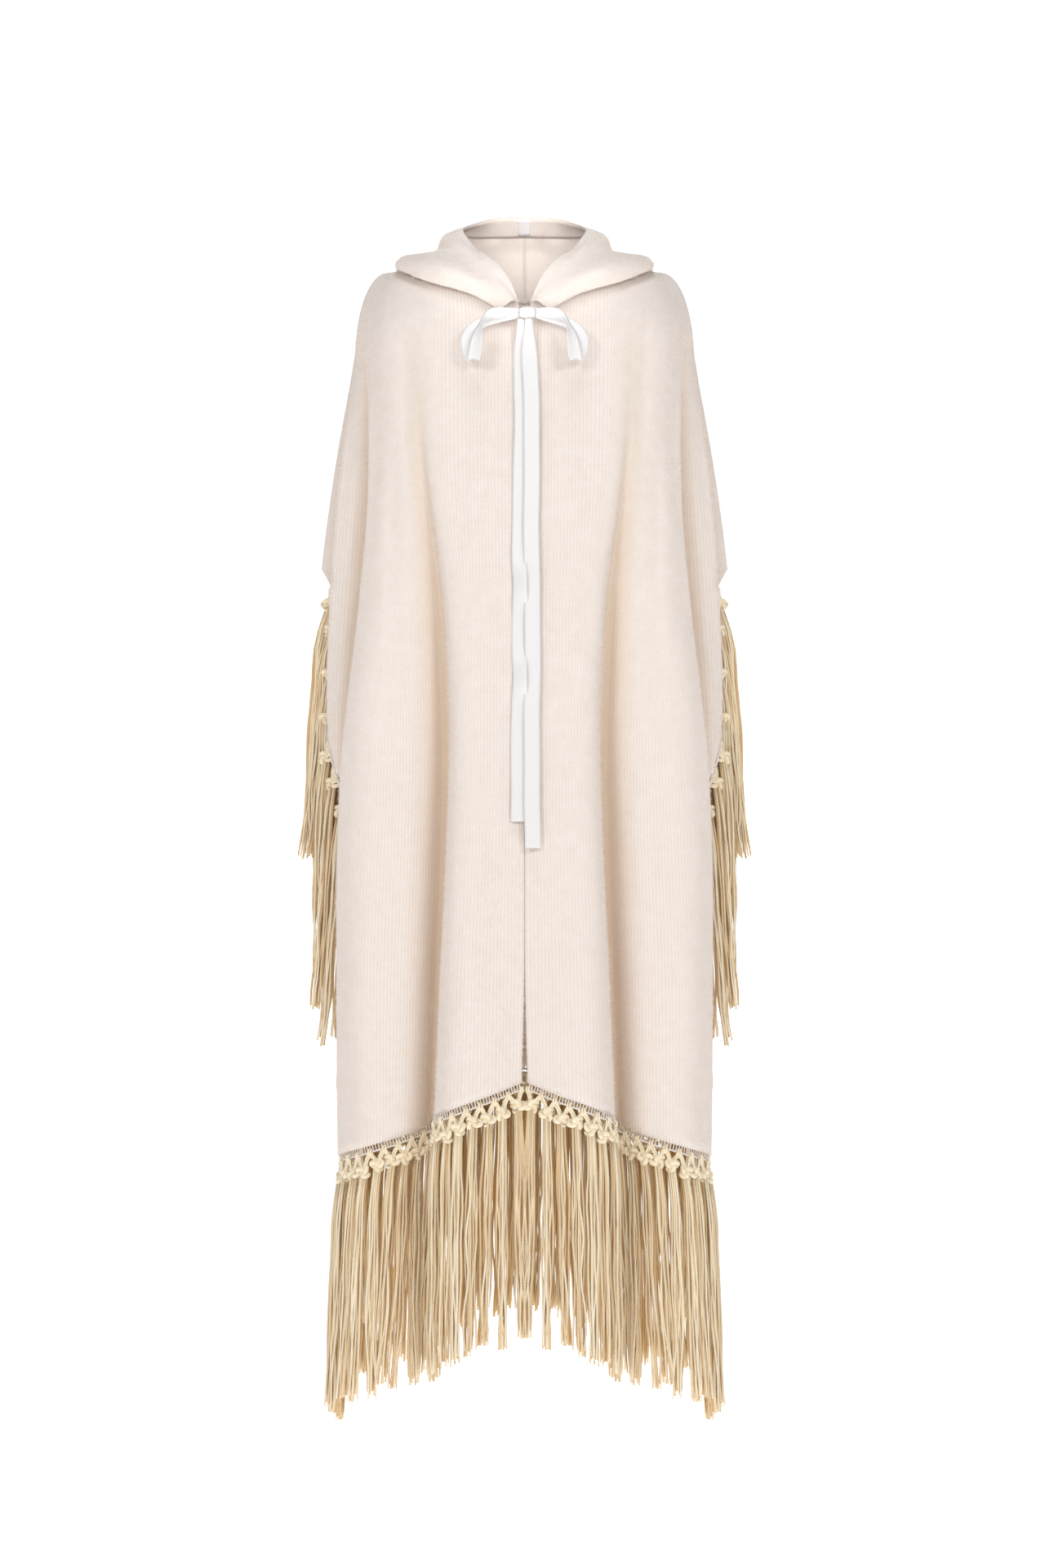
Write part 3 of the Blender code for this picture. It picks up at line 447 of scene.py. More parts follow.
def tubes(
    parts: MeshParts,
    paths: Array,
    radii: Array,
    sides: int = 4,
    facing: tuple = (0.0, 1.0, 0.0),
    painted_shade_depths: Array | None = None,
) -> None:
    """Adds many round strands at once, each closed at both ends.

    Args:
        parts: where they go.
        paths: [strand][point] positions in millimetres.
        radii: [strand][point] radii in millimetres.
        sides: how many sides a strand has.
        facing: a direction that none of the strands runs along.
        painted_shade_depths: for each strand, how much painted shade it gets, 0 to 1, by how deep it lies
            within its tassel.
    """
    strands, steps = paths.shape[:2]
    along = unit(np.gradient(paths, axis=1))
    across = unit(np.cross(along, np.asarray(facing, float)))
    through = np.cross(across, along)
    turn = 2 * math.pi * np.arange(sides) / sides
    spokes = across[:, :, None] * np.cos(turn)[:, None] + through[:, :, None] * np.sin(turn)[:, None]
    rings = paths[:, :, None] + spokes * radii[:, :, None, None]
    at = np.arange(strands * steps * sides).reshape(strands, steps, sides)
    nxt = np.roll(at, -1, axis=2)
    quads = np.stack([at[:, :-1], at[:, 1:], nxt[:, 1:], nxt[:, :-1]], axis=-1).reshape(-1, 4)
    length = np.linalg.norm(np.diff(paths, axis=1), axis=2).cumsum(axis=1)
    length = np.concatenate([np.zeros((strands, 1)), length], axis=1) * MM
    shift = np.arange(strands)[:, None] * STRAND_SHIFT
    around = turn / (2 * math.pi) * STRAND_ROUND
    uvs = np.stack(np.broadcast_arrays(around, (length + shift)[:, :, None]), axis=-1)
    triangles = []
    for cap in (at[:, 0], at[:, -1, ::-1]):
        for k in range(1, sides - 1):
            triangles.append(np.stack([cap[:, 0], cap[:, k], cap[:, k + 1]], axis=-1))
    depths = np.repeat(np.zeros(strands) if painted_shade_depths is None else painted_shade_depths, steps * sides)
    parts.add(rings, quads, np.concatenate(triangles), uvs, depths)


class NodeTree:
    """A material's nodes, added one at a time."""

    def __init__(self, name: str) -> None:
        """Starts a material.

        Args:
            name: its name.
        """
        self.material = bpy.data.materials.new(name)
        self.material.use_nodes = True
        self.tree = self.material.node_tree
        self.shader = self.tree.nodes["Principled BSDF"]

    def fill(self, socket: bpy.types.NodeSocket, value: object) -> None:
        """Gives a socket what it takes.

        Args:
            socket: the socket, of a node or of the shader.
            value: a plain value, an output, or a node whose first output is meant.
        """
        if isinstance(value, bpy.types.Node):
            value = value.outputs[0]
        if isinstance(value, bpy.types.NodeSocket):
            self.tree.links.new(value, socket)
        else:
            socket.default_value = value

    def add(self, kind: str, inputs: dict | None = None, **settings: object) -> bpy.types.Node:
        """Adds a node with its settings and links.

        Args:
            kind: Blender's name for the node, without its first word.
            inputs: socket name or number to what it takes.
            **settings: the node's own properties.

        Returns:
            The new node.
        """
        node = self.tree.nodes.new(f"ShaderNode{kind}")
        for key, value in settings.items():
            setattr(node, key, value)
        for socket, value in (inputs or {}).items():
            self.fill(node.inputs[socket], value)
        return node

    def cloth_axes(self) -> bpy.types.Node:
        """The place across and along the flat cloth, or round and along a strand."""
        return self.add("SeparateXYZ", {0: self.add("UVMap", uv_map="cloth")})

    def finish(self, **values: object) -> Material:
        """Fills the shader's own sockets.

        Args:
            **values: socket name, an underscore standing for a space, to what it takes.

        Returns:
            The material.
        """
        for socket, value in values.items():
            self.fill(self.shader.inputs[socket.replace("_", " ")], value)
        return self.material


@dataclass(frozen=True)
class BrushedRibKnit:
    """A soft rib knit with a brushed face: matt and pale, its ribs half hidden under short loose fibre."""

    name: str = "brushed_rib_knit"
    # The rib crests' tone, and the painted shade of the rib hollows, which the random patches also reach
    crest: str = "#faf0e9"
    hollow: str = "#eedfd4"
    # Painted shade: a warmer, darker cream laid into the big folds' valleys and over the panels' inner faces,
    # and how much of it shows there
    root: str = "#e2caae"
    fold_shade_share: float = 0.72
    rib_mm: float = RIB_PITCH
    course_mm: float = 2.6
    nap_mm: float = 1.6
    patch_mm: float = 14.0
    # How much the random patches and the painted shade of the rib hollows change the tone, and the tone
    # between them
    patch_contrast: float = 0.7
    rib_shade_contrast: float = 0.3
    middle_tone: float = 0.6
    # How far a stitch's arch leans back on its rib, in radians, and its height beside the fibres'
    arch_lean: float = 2.2
    stitch_height: float = 0.25
    nap_height: float = 0.9
    roughness: float = 0.95
    sheen: float = 0.04

    def material(self) -> Material:
        """Builds the knit: cream patches, painted shade in the rib hollows, the big folds' valleys and the
        inner faces, the stitches' small arches, bumps of brushed fibre.

        Returns:
            The material.
        """
        nodes = NodeTree(self.name)
        place = nodes.add("TexCoord").outputs["Object"]
        patches = nodes.add("TexNoise", {"Vector": place, "Scale": 1000 / self.patch_mm, "Detail": 3.0})
        nap_inputs = {"Vector": place, "Scale": 1000 / self.nap_mm, "Detail": 3.0, "Roughness": 0.65}
        nap = nodes.add("TexNoise", nap_inputs)
        half = self.patch_contrast / 2
        worn = nodes.add("Math", {0: patches, 1: self.patch_contrast, 2: -half}, operation="MULTIPLY_ADD")
        # Painted shade: the wave across the ribs darkens the tone in the rib hollows
        rib_inputs = {0: self.rib_wave(nodes), 1: self.rib_shade_contrast, 2: self.middle_tone}
        ribs = nodes.add("Math", rib_inputs, operation="MULTIPLY_ADD")
        tone = nodes.add("Math", {0: worn, 1: ribs}, operation="ADD", use_clamp=True)
        hollow, crest, root = (linear_from_hex(code) for code in (self.hollow, self.crest, self.root))
        cream = nodes.add("Mix", {MIX_SHARE: tone, MIX_FIRST: hollow, MIX_SECOND: crest}, data_type="RGBA")
        # Painted shade: the hollow attribute darkens the big folds' valleys and the inner faces toward the
        # root colour
        deep = nodes.add("Attribute", attribute_name="hollow").outputs["Fac"]
        closed = nodes.add("Math", {0: deep, 1: self.fold_shade_share}, operation="MULTIPLY")
        fold_shade_inputs = {MIX_SHARE: closed, MIX_FIRST: cream.outputs[MIX_RESULT], MIX_SECOND: root}
        fold_shaded = nodes.add("Mix", fold_shade_inputs, data_type="RGBA")
        fleck_inputs = {"Value": nap, "From Min": 0.25, "From Max": 0.7, "To Min": 0.9, "To Max": 1.0}
        fleck = nodes.add("MapRange", fleck_inputs)
        shade = nodes.add("CombineColor", {0: fleck, 1: fleck, 2: fleck})
        shaded = {MIX_SHARE: 1.0, MIX_FIRST: fold_shaded.outputs[MIX_RESULT], MIX_SECOND: shade}
        colour = nodes.add("Mix", shaded, data_type="RGBA", blend_type="MULTIPLY")
        height = {0: nap, 1: self.nap_height, 2: self.stitches(nodes)}
        total = nodes.add("Math", height, operation="MULTIPLY_ADD")
        return nodes.finish(
            Base_Color=colour.outputs[MIX_RESULT],
            Normal=nodes.add("Bump", {"Strength": 0.35, "Distance": 0.0006, "Height": total}),
            Roughness=self.roughness,
            Sheen_Weight=self.sheen,
            Sheen_Roughness=0.6,
            Specular_IOR_Level=0.15,
        )

    def rib_wave(self, nodes: NodeTree) -> bpy.types.Node:
        """Makes a wave across the ribs.

        Args:
            nodes: the knit's nodes.

        Returns:
            Its height: 1 on a crest and -1 in a hollow.
        """
        across = nodes.cloth_axes().outputs[0]
        turn = nodes.add("Math", {0: across, 1: 2000 * math.pi / self.rib_mm}, operation="MULTIPLY")
        return nodes.add("Math", {0: turn}, operation="COSINE")

    def stitches(self, nodes: NodeTree) -> bpy.types.Node:
        """Makes the knit stitches, a row of small arches along each rib.

        Args:
            nodes: the knit's nodes.

        Returns:
            Their height.
        """
        along = nodes.cloth_axes().outputs[1]
        drop = nodes.add("Math", {0: along, 1: 2000 * math.pi / self.course_mm}, operation="MULTIPLY")
        lean = {0: self.rib_wave(nodes), 1: self.arch_lean, 2: drop}
        arch = nodes.add("Math", lean, operation="MULTIPLY_ADD")
        wave = nodes.add("Math", {0: arch}, operation="SINE")
        return nodes.add("Math", {0: wave, 1: self.stitch_height}, operation="MULTIPLY")


@dataclass(frozen=True)
class SatinRibbon:
    """Woven polyester satin: white, smooth one way, with a soft broad gloss."""

    name: str = "satin_ribbon"
    colour: str = "#f4f1f0"
    shade: str = "#eae7e6"
    roughness: float = 0.38
    # One radian of the wave is a thread, so they are drawn about six times as coarse as they are, to show
    thread_mm: float = 0.25

    def material(self) -> Material:
        """Builds the satin with its fine cross threads.

        Returns:
            The material.
        """
        nodes = NodeTree(self.name)
        flat = nodes.add("UVMap", uv_map="cloth")
        wave_inputs = {"Vector": flat, "Scale": 1000 / self.thread_mm / WAVE_TURN, "Distortion": 0.6}
        threads = nodes.add("TexWave", wave_inputs, bands_direction="Y").outputs[1]
        shade, colour = linear_from_hex(self.shade), linear_from_hex(self.colour)
        tone = nodes.add("Mix", {MIX_SHARE: threads, MIX_FIRST: shade, MIX_SECOND: colour}, data_type="RGBA")
        return nodes.finish(
            Base_Color=tone.outputs[MIX_RESULT],
            Normal=nodes.add("Bump", {"Strength": 0.02, "Distance": 0.0001, "Height": threads}),
            Roughness=self.roughness,
            Sheen_Weight=0.15,
            Specular_IOR_Level=0.5,
        )


@dataclass(frozen=True)
class FringeYarn:
    """Soft twisted acrylic yarn: matt straw with a slanting ply, and painted shade that darkens the strands
    toward the middle and back of a tassel.
    """

    name: str = "fringe_yarn"
    # The yarn's lit tone, and the painted shade of the deep strands, which the streaks also reach
    light: str = "#fff2d7"
    dark: str = "#d9b070"
    # Painted shade: the tone of a strand at the front of its tassel, which falls toward the dark colour for
    # strands further back, and how far the tone changes along the streaks
    depth_shade_tone: float = 0.9
    streak_tone: float = 0.15
    streak_mm: tuple = (2.381, 71.43)
    ply_mm: float = 4.0
    roughness: float = 0.9

    def material(self) -> Material:
        """Builds the yarn: painted shade on strands that lie deep, long streaks and the ply's slanting
        grooves.

        Returns:
            The material.
        """
        nodes = NodeTree(self.name)
        place = nodes.add("TexCoord").outputs["Object"]
        wide, long = (1000 / size for size in self.streak_mm)
        stretch = nodes.add("Mapping", {"Vector": place, "Scale": (wide, wide, long)})
        streaks = nodes.add("TexNoise", {"Vector": stretch, "Scale": 1.0, "Detail": 2.0})
        most = self.streak_tone
        spread = {"Value": streaks, "From Min": 0.32, "From Max": 0.68, "To Min": -most, "To Max": most}
        streak = nodes.add("MapRange", spread)
        # Painted shade: the hollow attribute darkens the strands at the back of a tassel
        deep = nodes.add("Attribute", attribute_name="hollow").outputs["Fac"]
        depth_shade_inputs = {0: deep, 1: -self.depth_shade_tone, 2: self.depth_shade_tone}
        front = nodes.add("Math", depth_shade_inputs, operation="MULTIPLY_ADD")
        tone = nodes.add("Math", {0: front, 1: streak}, operation="ADD", use_clamp=True)
        dark, light = linear_from_hex(self.dark), linear_from_hex(self.light)
        mixed = nodes.add("Mix", {MIX_SHARE: tone, MIX_FIRST: dark, MIX_SECOND: light}, data_type="RGBA")
        around, along, _ = nodes.cloth_axes().outputs
        ply_inputs = {0: around, 1: self.ply_mm * MM / STRAND_ROUND, 2: along}
        slant = nodes.add("Math", ply_inputs, operation="MULTIPLY_ADD")
        turn = nodes.add("Math", {0: slant, 1: 2000 * math.pi / self.ply_mm}, operation="MULTIPLY")
        groove = nodes.add("Math", {0: turn}, operation="SINE")
        return nodes.finish(
            Base_Color=mixed.outputs[MIX_RESULT],
            Normal=nodes.add("Bump", {"Strength": 0.3, "Distance": 0.0004, "Height": groove}),
            Roughness=self.roughness,
            Sheen_Weight=0.2,
            Specular_IOR_Level=0.2,
        )


@dataclass(frozen=True)
class FibreHaze:
    """The loose ends of the brushed yarn: fine pale fibres that stand off the cloth and blur its outline."""

    name: str = "brushed_fibre"
    colour: str = "#fbf3ee"
    shade: str = "#f3e6dc"
    patch_mm: float = 3.333

    def material(self) -> Material:
        """Builds the fibres' tone, slightly mixed from fibre to fibre.

        Returns:
            The material.
        """
        nodes = NodeTree(self.name)
        place = nodes.add("TexCoord").outputs["Object"]
        mixed = nodes.add("TexNoise", {"Vector": place, "Scale": 1000 / self.patch_mm})
        shade, colour = linear_from_hex(self.shade), linear_from_hex(self.colour)
        tone = nodes.add("Mix", {MIX_SHARE: mixed, MIX_FIRST: shade, MIX_SECOND: colour}, data_type="RGBA")
        return nodes.finish(Base_Color=tone.outputs[MIX_RESULT], Roughness=1.0, Specular_IOR_Level=0.0)


@dataclass
class Finishes:
    """The poncho's materials, each made once."""

    knit: Material
    satin: Material
    yarn: Material
    fibre: Material


@dataclass
class PanelForm:
    """The smooth form of the front or back cloth. Row 0 is the shoulder seam, 1 the chest and 2 the hem."""

    side: Side

    def __post_init__(self) -> None:
        """Turns the rail table into an array, [level][rail] to x and y."""
        rails = FRONT_RAILS if self.side is FRONT else BACK_RAILS
        self.table = np.array([[(xs[k], ys[k]) for _, xs, ys in rails] for k in range(len(LEVELS))], float)

    def section(self, z: Array, rail: Array) -> Array:
        """Reads the cloth below the shoulder.

        Args:
            z: heights.
            rail: the rail at each height.

        Returns:
            The cloth's x and y at each.
        """
        by_level = curve_weights(-np.array(LEVELS), -z)
        by_rail = curve_weights(np.arange(self.table.shape[1]), rail)
        across = np.einsum("nj,ijc->nic", by_rail, self.table)
        return np.einsum("ni,nic->nc", by_level, across)

    def top(self, rail: Array) -> Array:
        """Reads the top edge: the shoulder seam, and on the back also the neckline.

        Args:
            rail: rails.

        Returns:
            The edge's point on each.
        """
        first = NECK_RAIL if self.side is BACK else 0.0
        share = np.clip((rail - first) / (LAST_RAIL - first), 0, 1)
        x = NECK_X + (CORNER_X - NECK_X) * share
        z = NECK_Z + (CORNER_Z - NECK_Z) * share**0.8
        seam = np.stack([x, np.zeros_like(x), z], axis=-1)
        if self.side is FRONT:
            return seam
        turn = np.pi / 2 * np.clip(rail / NECK_RAIL, 0, 1)
        z = BACK_NECK_Z + (NECK_Z - BACK_NECK_Z) * np.sin(turn) ** 2
        neck = np.stack([NECK_X * np.sin(turn), BACK_NECK_Y * np.cos(turn), z], axis=-1)
        return np.where((rail < NECK_RAIL)[:, None], neck, seam)

    def points(self, row: Array, rail: Array) -> Array:
        """Reads the cloth's smooth outer face.

        Args:
            row: rows, as numbers or a grid.
            rail: the rail at each.

        Returns:
            The face's point at each.
        """
        row, rail = np.broadcast_arrays(np.asarray(row, float), np.asarray(rail, float))
        shape = row.shape
        row, rail = row.ravel(), rail.ravel()
        top = self.top(rail)
        chest = self.section(np.full_like(rail, CHEST_Z), rail)
        turn = np.pi / 2 * np.clip(row, 0, 1)
        cap_xy = top[:, :2] + (chest - top[:, :2]) * np.sin(turn)[:, None]
        cap_z = top[:, 2] + (CHEST_Z - top[:, 2]) * (1 - np.cos(turn))
        fall = np.clip(row - 1, 0, 1)
        z = CHEST_Z + (FRONT_HEM_Z - CHEST_Z) * fall - HEM_FALL_PER_RAIL * rail * ramp((fall - 0.6) / 0.4)
        drop_xy = self.section(z, rail)
        on_cap = row <= 1
        xy = np.where(on_cap[:, None], cap_xy, drop_xy)
        return np.column_stack([xy, np.where(on_cap, cap_z, z)]).reshape(*shape, 3)

    def last_rail(self, row: Array) -> Array:
        """Finds the cloth's side edge.

        Args:
            row: rows.

        Returns:
            The rail on which each row ends.
        """
        z = CHEST_Z + (FRONT_HEM_Z - CHEST_Z) * (np.asarray(row, float) - 1)
        heights, rails = np.array(SIDE_EDGE).T
        return np.interp(-z, -heights, rails)

    def normals(self, row: Array, rail: Array) -> Array:
        """Reads which way the cloth faces.

        Args:
            row: rows, as numbers or a grid.
            rail: the rail at each.

        Returns:
            The outward direction at each.
        """
        row, rail = np.broadcast_arrays(np.asarray(row, float), np.asarray(rail, float))
        step, last = 0.02, self.last_rail(row)
        down = self.points(np.minimum(row + step, 2), rail) - self.points(np.maximum(row - step, 0), rail)
        right = self.points(row, np.minimum(rail + 5 * step, last))
        across = right - self.points(row, np.maximum(rail - 5 * step, 0))
        return unit(np.cross(down, across) if self.side is FRONT else np.cross(across, down))


FORMS = {side: PanelForm(side) for side in Side}


def row_of_height(z: float) -> float:
    """The row whose height at the middle is z."""
    return 1 + (z - CHEST_Z) / (FRONT_HEM_Z - CHEST_Z)


def even_rows(longest: float) -> Array:
    """Spreads a panel's rows, with one wherever its edge turns.

    Args:
        longest: the furthest that two may lie apart, in millimetres.

    Returns:
        The rows, from the shoulder to the hem.
    """
    fixed = [*CAP_ROWS, *(row_of_height(z) for z in DROP_ROW_Z)]
    drops = [CAP_LENGTH if row < 1 else CHEST_Z - FRONT_HEM_Z for row in fixed[:-1]]
    rows = [0.0]
    for low, high, reach in zip(fixed, fixed[1:], drops):
        pieces = max(1, math.ceil((high - low) * reach / longest))
        rows += list(np.linspace(low, high, pieces + 1)[1:])
    return np.array(rows)


@dataclass
class KnitPanel:
    """One cloth of the poncho, front or back, as a ribbed shell that hangs in folds."""

    side: Side
    finishes: Finishes
    thick: float = CLOTH_THICK
    rib: float = RIB_PITCH
    rib_height: float = 0.2
    columns_per_rib: int = 3
    row_step: float = 16.0
    # The row along which the ribs are evenly spaced, and the highest one whose facing is taken as it is
    measured_row: float = 1.57
    facing_row: float = 0.2
    # Half the gap of the closed slit, the rails that move with it, and how far down it closes and opens, each
    # with the length that this takes
    slit_gap: float = 0.35
    slit_reach: float = 0.35
    slit_closes: tuple = (110.0, 60.0)
    slit_opens: tuple = (800.0, 175.0)
    # The row from which the big folds' valleys get painted shade, and over how many more rows it grows to
    # full
    valley_shade_start: tuple = (0.75, 0.8)

    def __post_init__(self) -> None:
        """Measures the cloth's width once, so that the ribs have an even pitch."""
        self.form = FORMS[self.side]
        self.rails = np.linspace(0, LAST_RAIL, 481)
        rows = np.full_like(self.rails, self.measured_row)
        self.lengths = run_length(self.form.points(rows, self.rails))

    def rib_number(self, rail: Array) -> Array:
        """How many ribs lie between the cloth's middle edge and a rail."""
        return np.interp(rail, self.rails, self.lengths) / self.rib

    def columns(self) -> tuple[Array, Array]:
        """Spreads the columns, so that each rib has the same number.

        Returns:
            The rails up to the outer rim, and then the shares of the way from there to the side edge.
        """
        rim = float(np.interp(RIM_RAIL, self.rails, self.lengths))
        total = float(self.lengths[-1])
        step = self.rib / self.columns_per_rib
        inner = max(1, round(rim / step / self.columns_per_rib)) * self.columns_per_rib
        outer = max(1, round((total - rim) / step / self.columns_per_rib)) * self.columns_per_rib
        to_rim = np.interp(np.linspace(0, rim, inner + 1), self.lengths, self.rails)
        beyond = np.interp(np.linspace(rim, total, outer + 1)[1:], self.lengths, self.rails)
        return to_rim, (beyond - RIM_RAIL) / (LAST_RAIL - RIM_RAIL)

    def places(self) -> tuple[Array, Array]:
        """Lays out the grid, which ends where the open row of stitches starts.

        Returns:
            The row and the rail of each of its points.
        """
        rows = even_rows(self.row_step)
        rows[-1] += HEM_OPEN[self.side] / (FRONT_HEM_Z - CHEST_Z)
        to_rim, shares = self.columns()
        last = self.form.last_rail(rows)
        beyond = RIM_RAIL + (last[:, None] - RIM_RAIL) * shares[None, :]
        rails = np.concatenate([np.broadcast_to(to_rim, (len(rows), len(to_rim))), beyond], axis=1)
        return np.broadcast_to(rows[:, None], rails.shape).copy(), rails

    def surface(self, rows: Array, rails: Array) -> tuple[Array, Array]:
        """Shapes the outer face, with its seams parted and its small folds laid in.

        Args:
            rows: the row of each of its points.
            rails: the rail of each.

        Returns:
            The points and their outward directions.
        """
        points = self.form.points(rows, rails)
        facing_rows = np.maximum(rows, self.facing_row)
        normals = self.form.normals(facing_rows, rails)
        hem = rows >= rows.max()
        normals[hem] = unit(normals[hem] * LEVEL)
        corner = (rows < 1) & (rails > CORNER_RAIL)
        at_last = self.form.normals(facing_rows, np.full_like(rails, LAST_RAIL))
        normals[corner] = at_last[corner]
        seam = (rows == 0) & (rails >= (NECK_RAIL if self.side is BACK else 0))
        fold = rails >= LAST_RAIL - 1e-6
        sign = -1 if self.side is FRONT else 1
        flat = seam | fold
        normals[flat] = unit(normals[flat] * np.array((1.0, 0.0, 1.0)))
        points[fold, 1] = sign * SLEEVE_GAP / 2
        points[seam, 1] = sign * SEAM_GAP / 2
        if self.side is BACK:
            middle = rails == 0
            normals[middle] = unit(normals[middle] * np.array((0.0, 1.0, 1.0)))
        points = points - normals * self.sunk(rows, rails)[..., None]
        if self.side is FRONT:
            self.close_slit(points, rails)
        return points, normals

    def sunk(self, rows: Array, rails: Array) -> Array:
        """Works out the small folds and the slow unevenness of a hanging cloth.

        Args:
            rows: the row of each point.
            rails: the rail of each.

        Returns:
            How deep each point lies below the smooth form.
        """
        depth = np.zeros_like(rails)
        for side, at_top, at_hem, start, end, deep, half in SMALL_FOLDS:
            if side is not self.side:
                continue
            share = (rows - start) / (end - start)
            centre = at_top + (at_hem - at_top) * share
            length = ramp(share / 0.25) * (1.0 if end >= 2 else ramp((1 - share) / 0.35))
            depth += deep * length * np.exp(-(((rails - centre) / half) ** 2)) * (share > 0)
        hang = ramp((rows - 0.3) / 0.5) * np.clip((self.form.last_rail(rows) - rails) / 0.6, 0, 1)
        waves = (high * np.sin(down * rows + out * rails + start) for high, down, out, start in SLOW_WAVES)
        away_from_middle = ramp(rails / 0.5) if self.side is BACK else 1.0
        return (depth + sum(waves)) * hang * away_from_middle

    def painted_shade_depths(self, rows: Array, rails: Array) -> Array:
        """How much painted shade each place gets, 0 to 1, by how far down in a big fold it lies."""
        depth = sum(np.exp(-(((rails - centre) / half) ** 2)) for centre, half in SHADED_VALLEYS)
        return np.clip(depth, 0, 1) * ramp((rows - self.valley_shade_start[0]) / self.valley_shade_start[1])

    def close_slit(self, points: Array, rails: Array) -> None:
        """Brings the front edges together down to the knee, as they hang, and lets them part below.

        Args:
            points: the outer face's points, which it moves.
            rails: the rail of each.
        """
        down = -points[:, :1, 2]
        opened = ramp((down - self.slit_opens[0]) / self.slit_opens[1])
        half_gap = self.slit_gap + (points[:, :1, 0] - self.slit_gap) * opened
        closed = ramp((down - self.slit_closes[0]) / self.slit_closes[1])
        share = closed * np.exp(-((rails / self.slit_reach) ** 2))
        points[..., 0] -= (points[:, :1, 0] - half_gap) * share

    def make(self) -> None:
        """Builds the cloth and keeps the faces that the fibres grow from."""
        rows, rails = self.places()
        points, normals = self.surface(rows, rails)
        number = self.rib_number(rails)
        edge = ramp((self.form.last_rail(rows) - rails) / 0.15) * ramp(rows / 0.1)
        ribs = self.rib_height * np.cos(2 * np.pi * number) * edge
        outer = points + normals * ribs[..., None]
        step = self.columns_per_rib
        inner = (points - normals * self.thick)[:, ::step]
        down = np.stack([run_length(points[:, j]) for j in (0, points.shape[1] // 2)]).mean(axis=0)
        uv = np.stack([number * self.rib * MM, np.broadcast_to(-down[:, None] * MM, number.shape)], axis=-1)
        self.skin = (outer, normals)
        parts = MeshParts()
        # Painted shade for the big folds' valleys, carried to the knit as the hollow attribute
        depths = self.painted_shade_depths(rows, rails)
        if self.side is FRONT:
            cloth_shell(parts, outer, inner, uv, step, painted_shade_depths=depths)
        else:
            depths = np.concatenate([depths[:, :0:-1], depths], axis=1)
            cloth_shell(parts, whole(outer), whole(inner), whole(uv), step, turn_out=True, painted_shade_depths=depths)
        self.pieces = parts.build_for(self.side, "knit_front", "knit_back", self.finishes.knit)

    def dress(self) -> None:
        """Says what each cloth stands for."""
        names = ("front_left", "front_right") if self.side is FRONT else ("back",)
        for piece, node in zip(self.pieces, names):
            stand_for(piece, node)


def hood_ribs(rows: Array) -> Array:
    """Draws the hood's eight sections.

    Args:
        rows: shares of the way from the neck seam, over the outer fold and up, to the face edge.

    Returns:
        The sections' points, [section][row].
    """
    ribs = []
    for _, (side, first_row, first_rail), (_, last_row, last_rail), stand, share, *upper in HOOD_SECTIONS:
        form = FORMS[side]
        ways = np.array([0.0, share / 2, share, 1.0, share])
        turn = HOOD_UNDER_LIFT + HOOD_TURN_SHARE * (stand - HOOD_UNDER_LIFT)
        lifts = np.array([HOOD_UNDER_LIFT] * 3 + [turn, stand])
        at = (first_row + ways * (last_row - first_row), first_rail + ways * (last_rail - first_rail))
        lower = form.points(*at) + form.normals(*at) * lifts[:, None]
        station = np.concatenate([lower, np.array(upper, float)])
        along = run_length(station)
        places = np.interp(rows * (len(station) - 1), np.arange(len(station)), along)
        ribs.append(smooth_curve(along, station, places))
    return np.array(ribs)


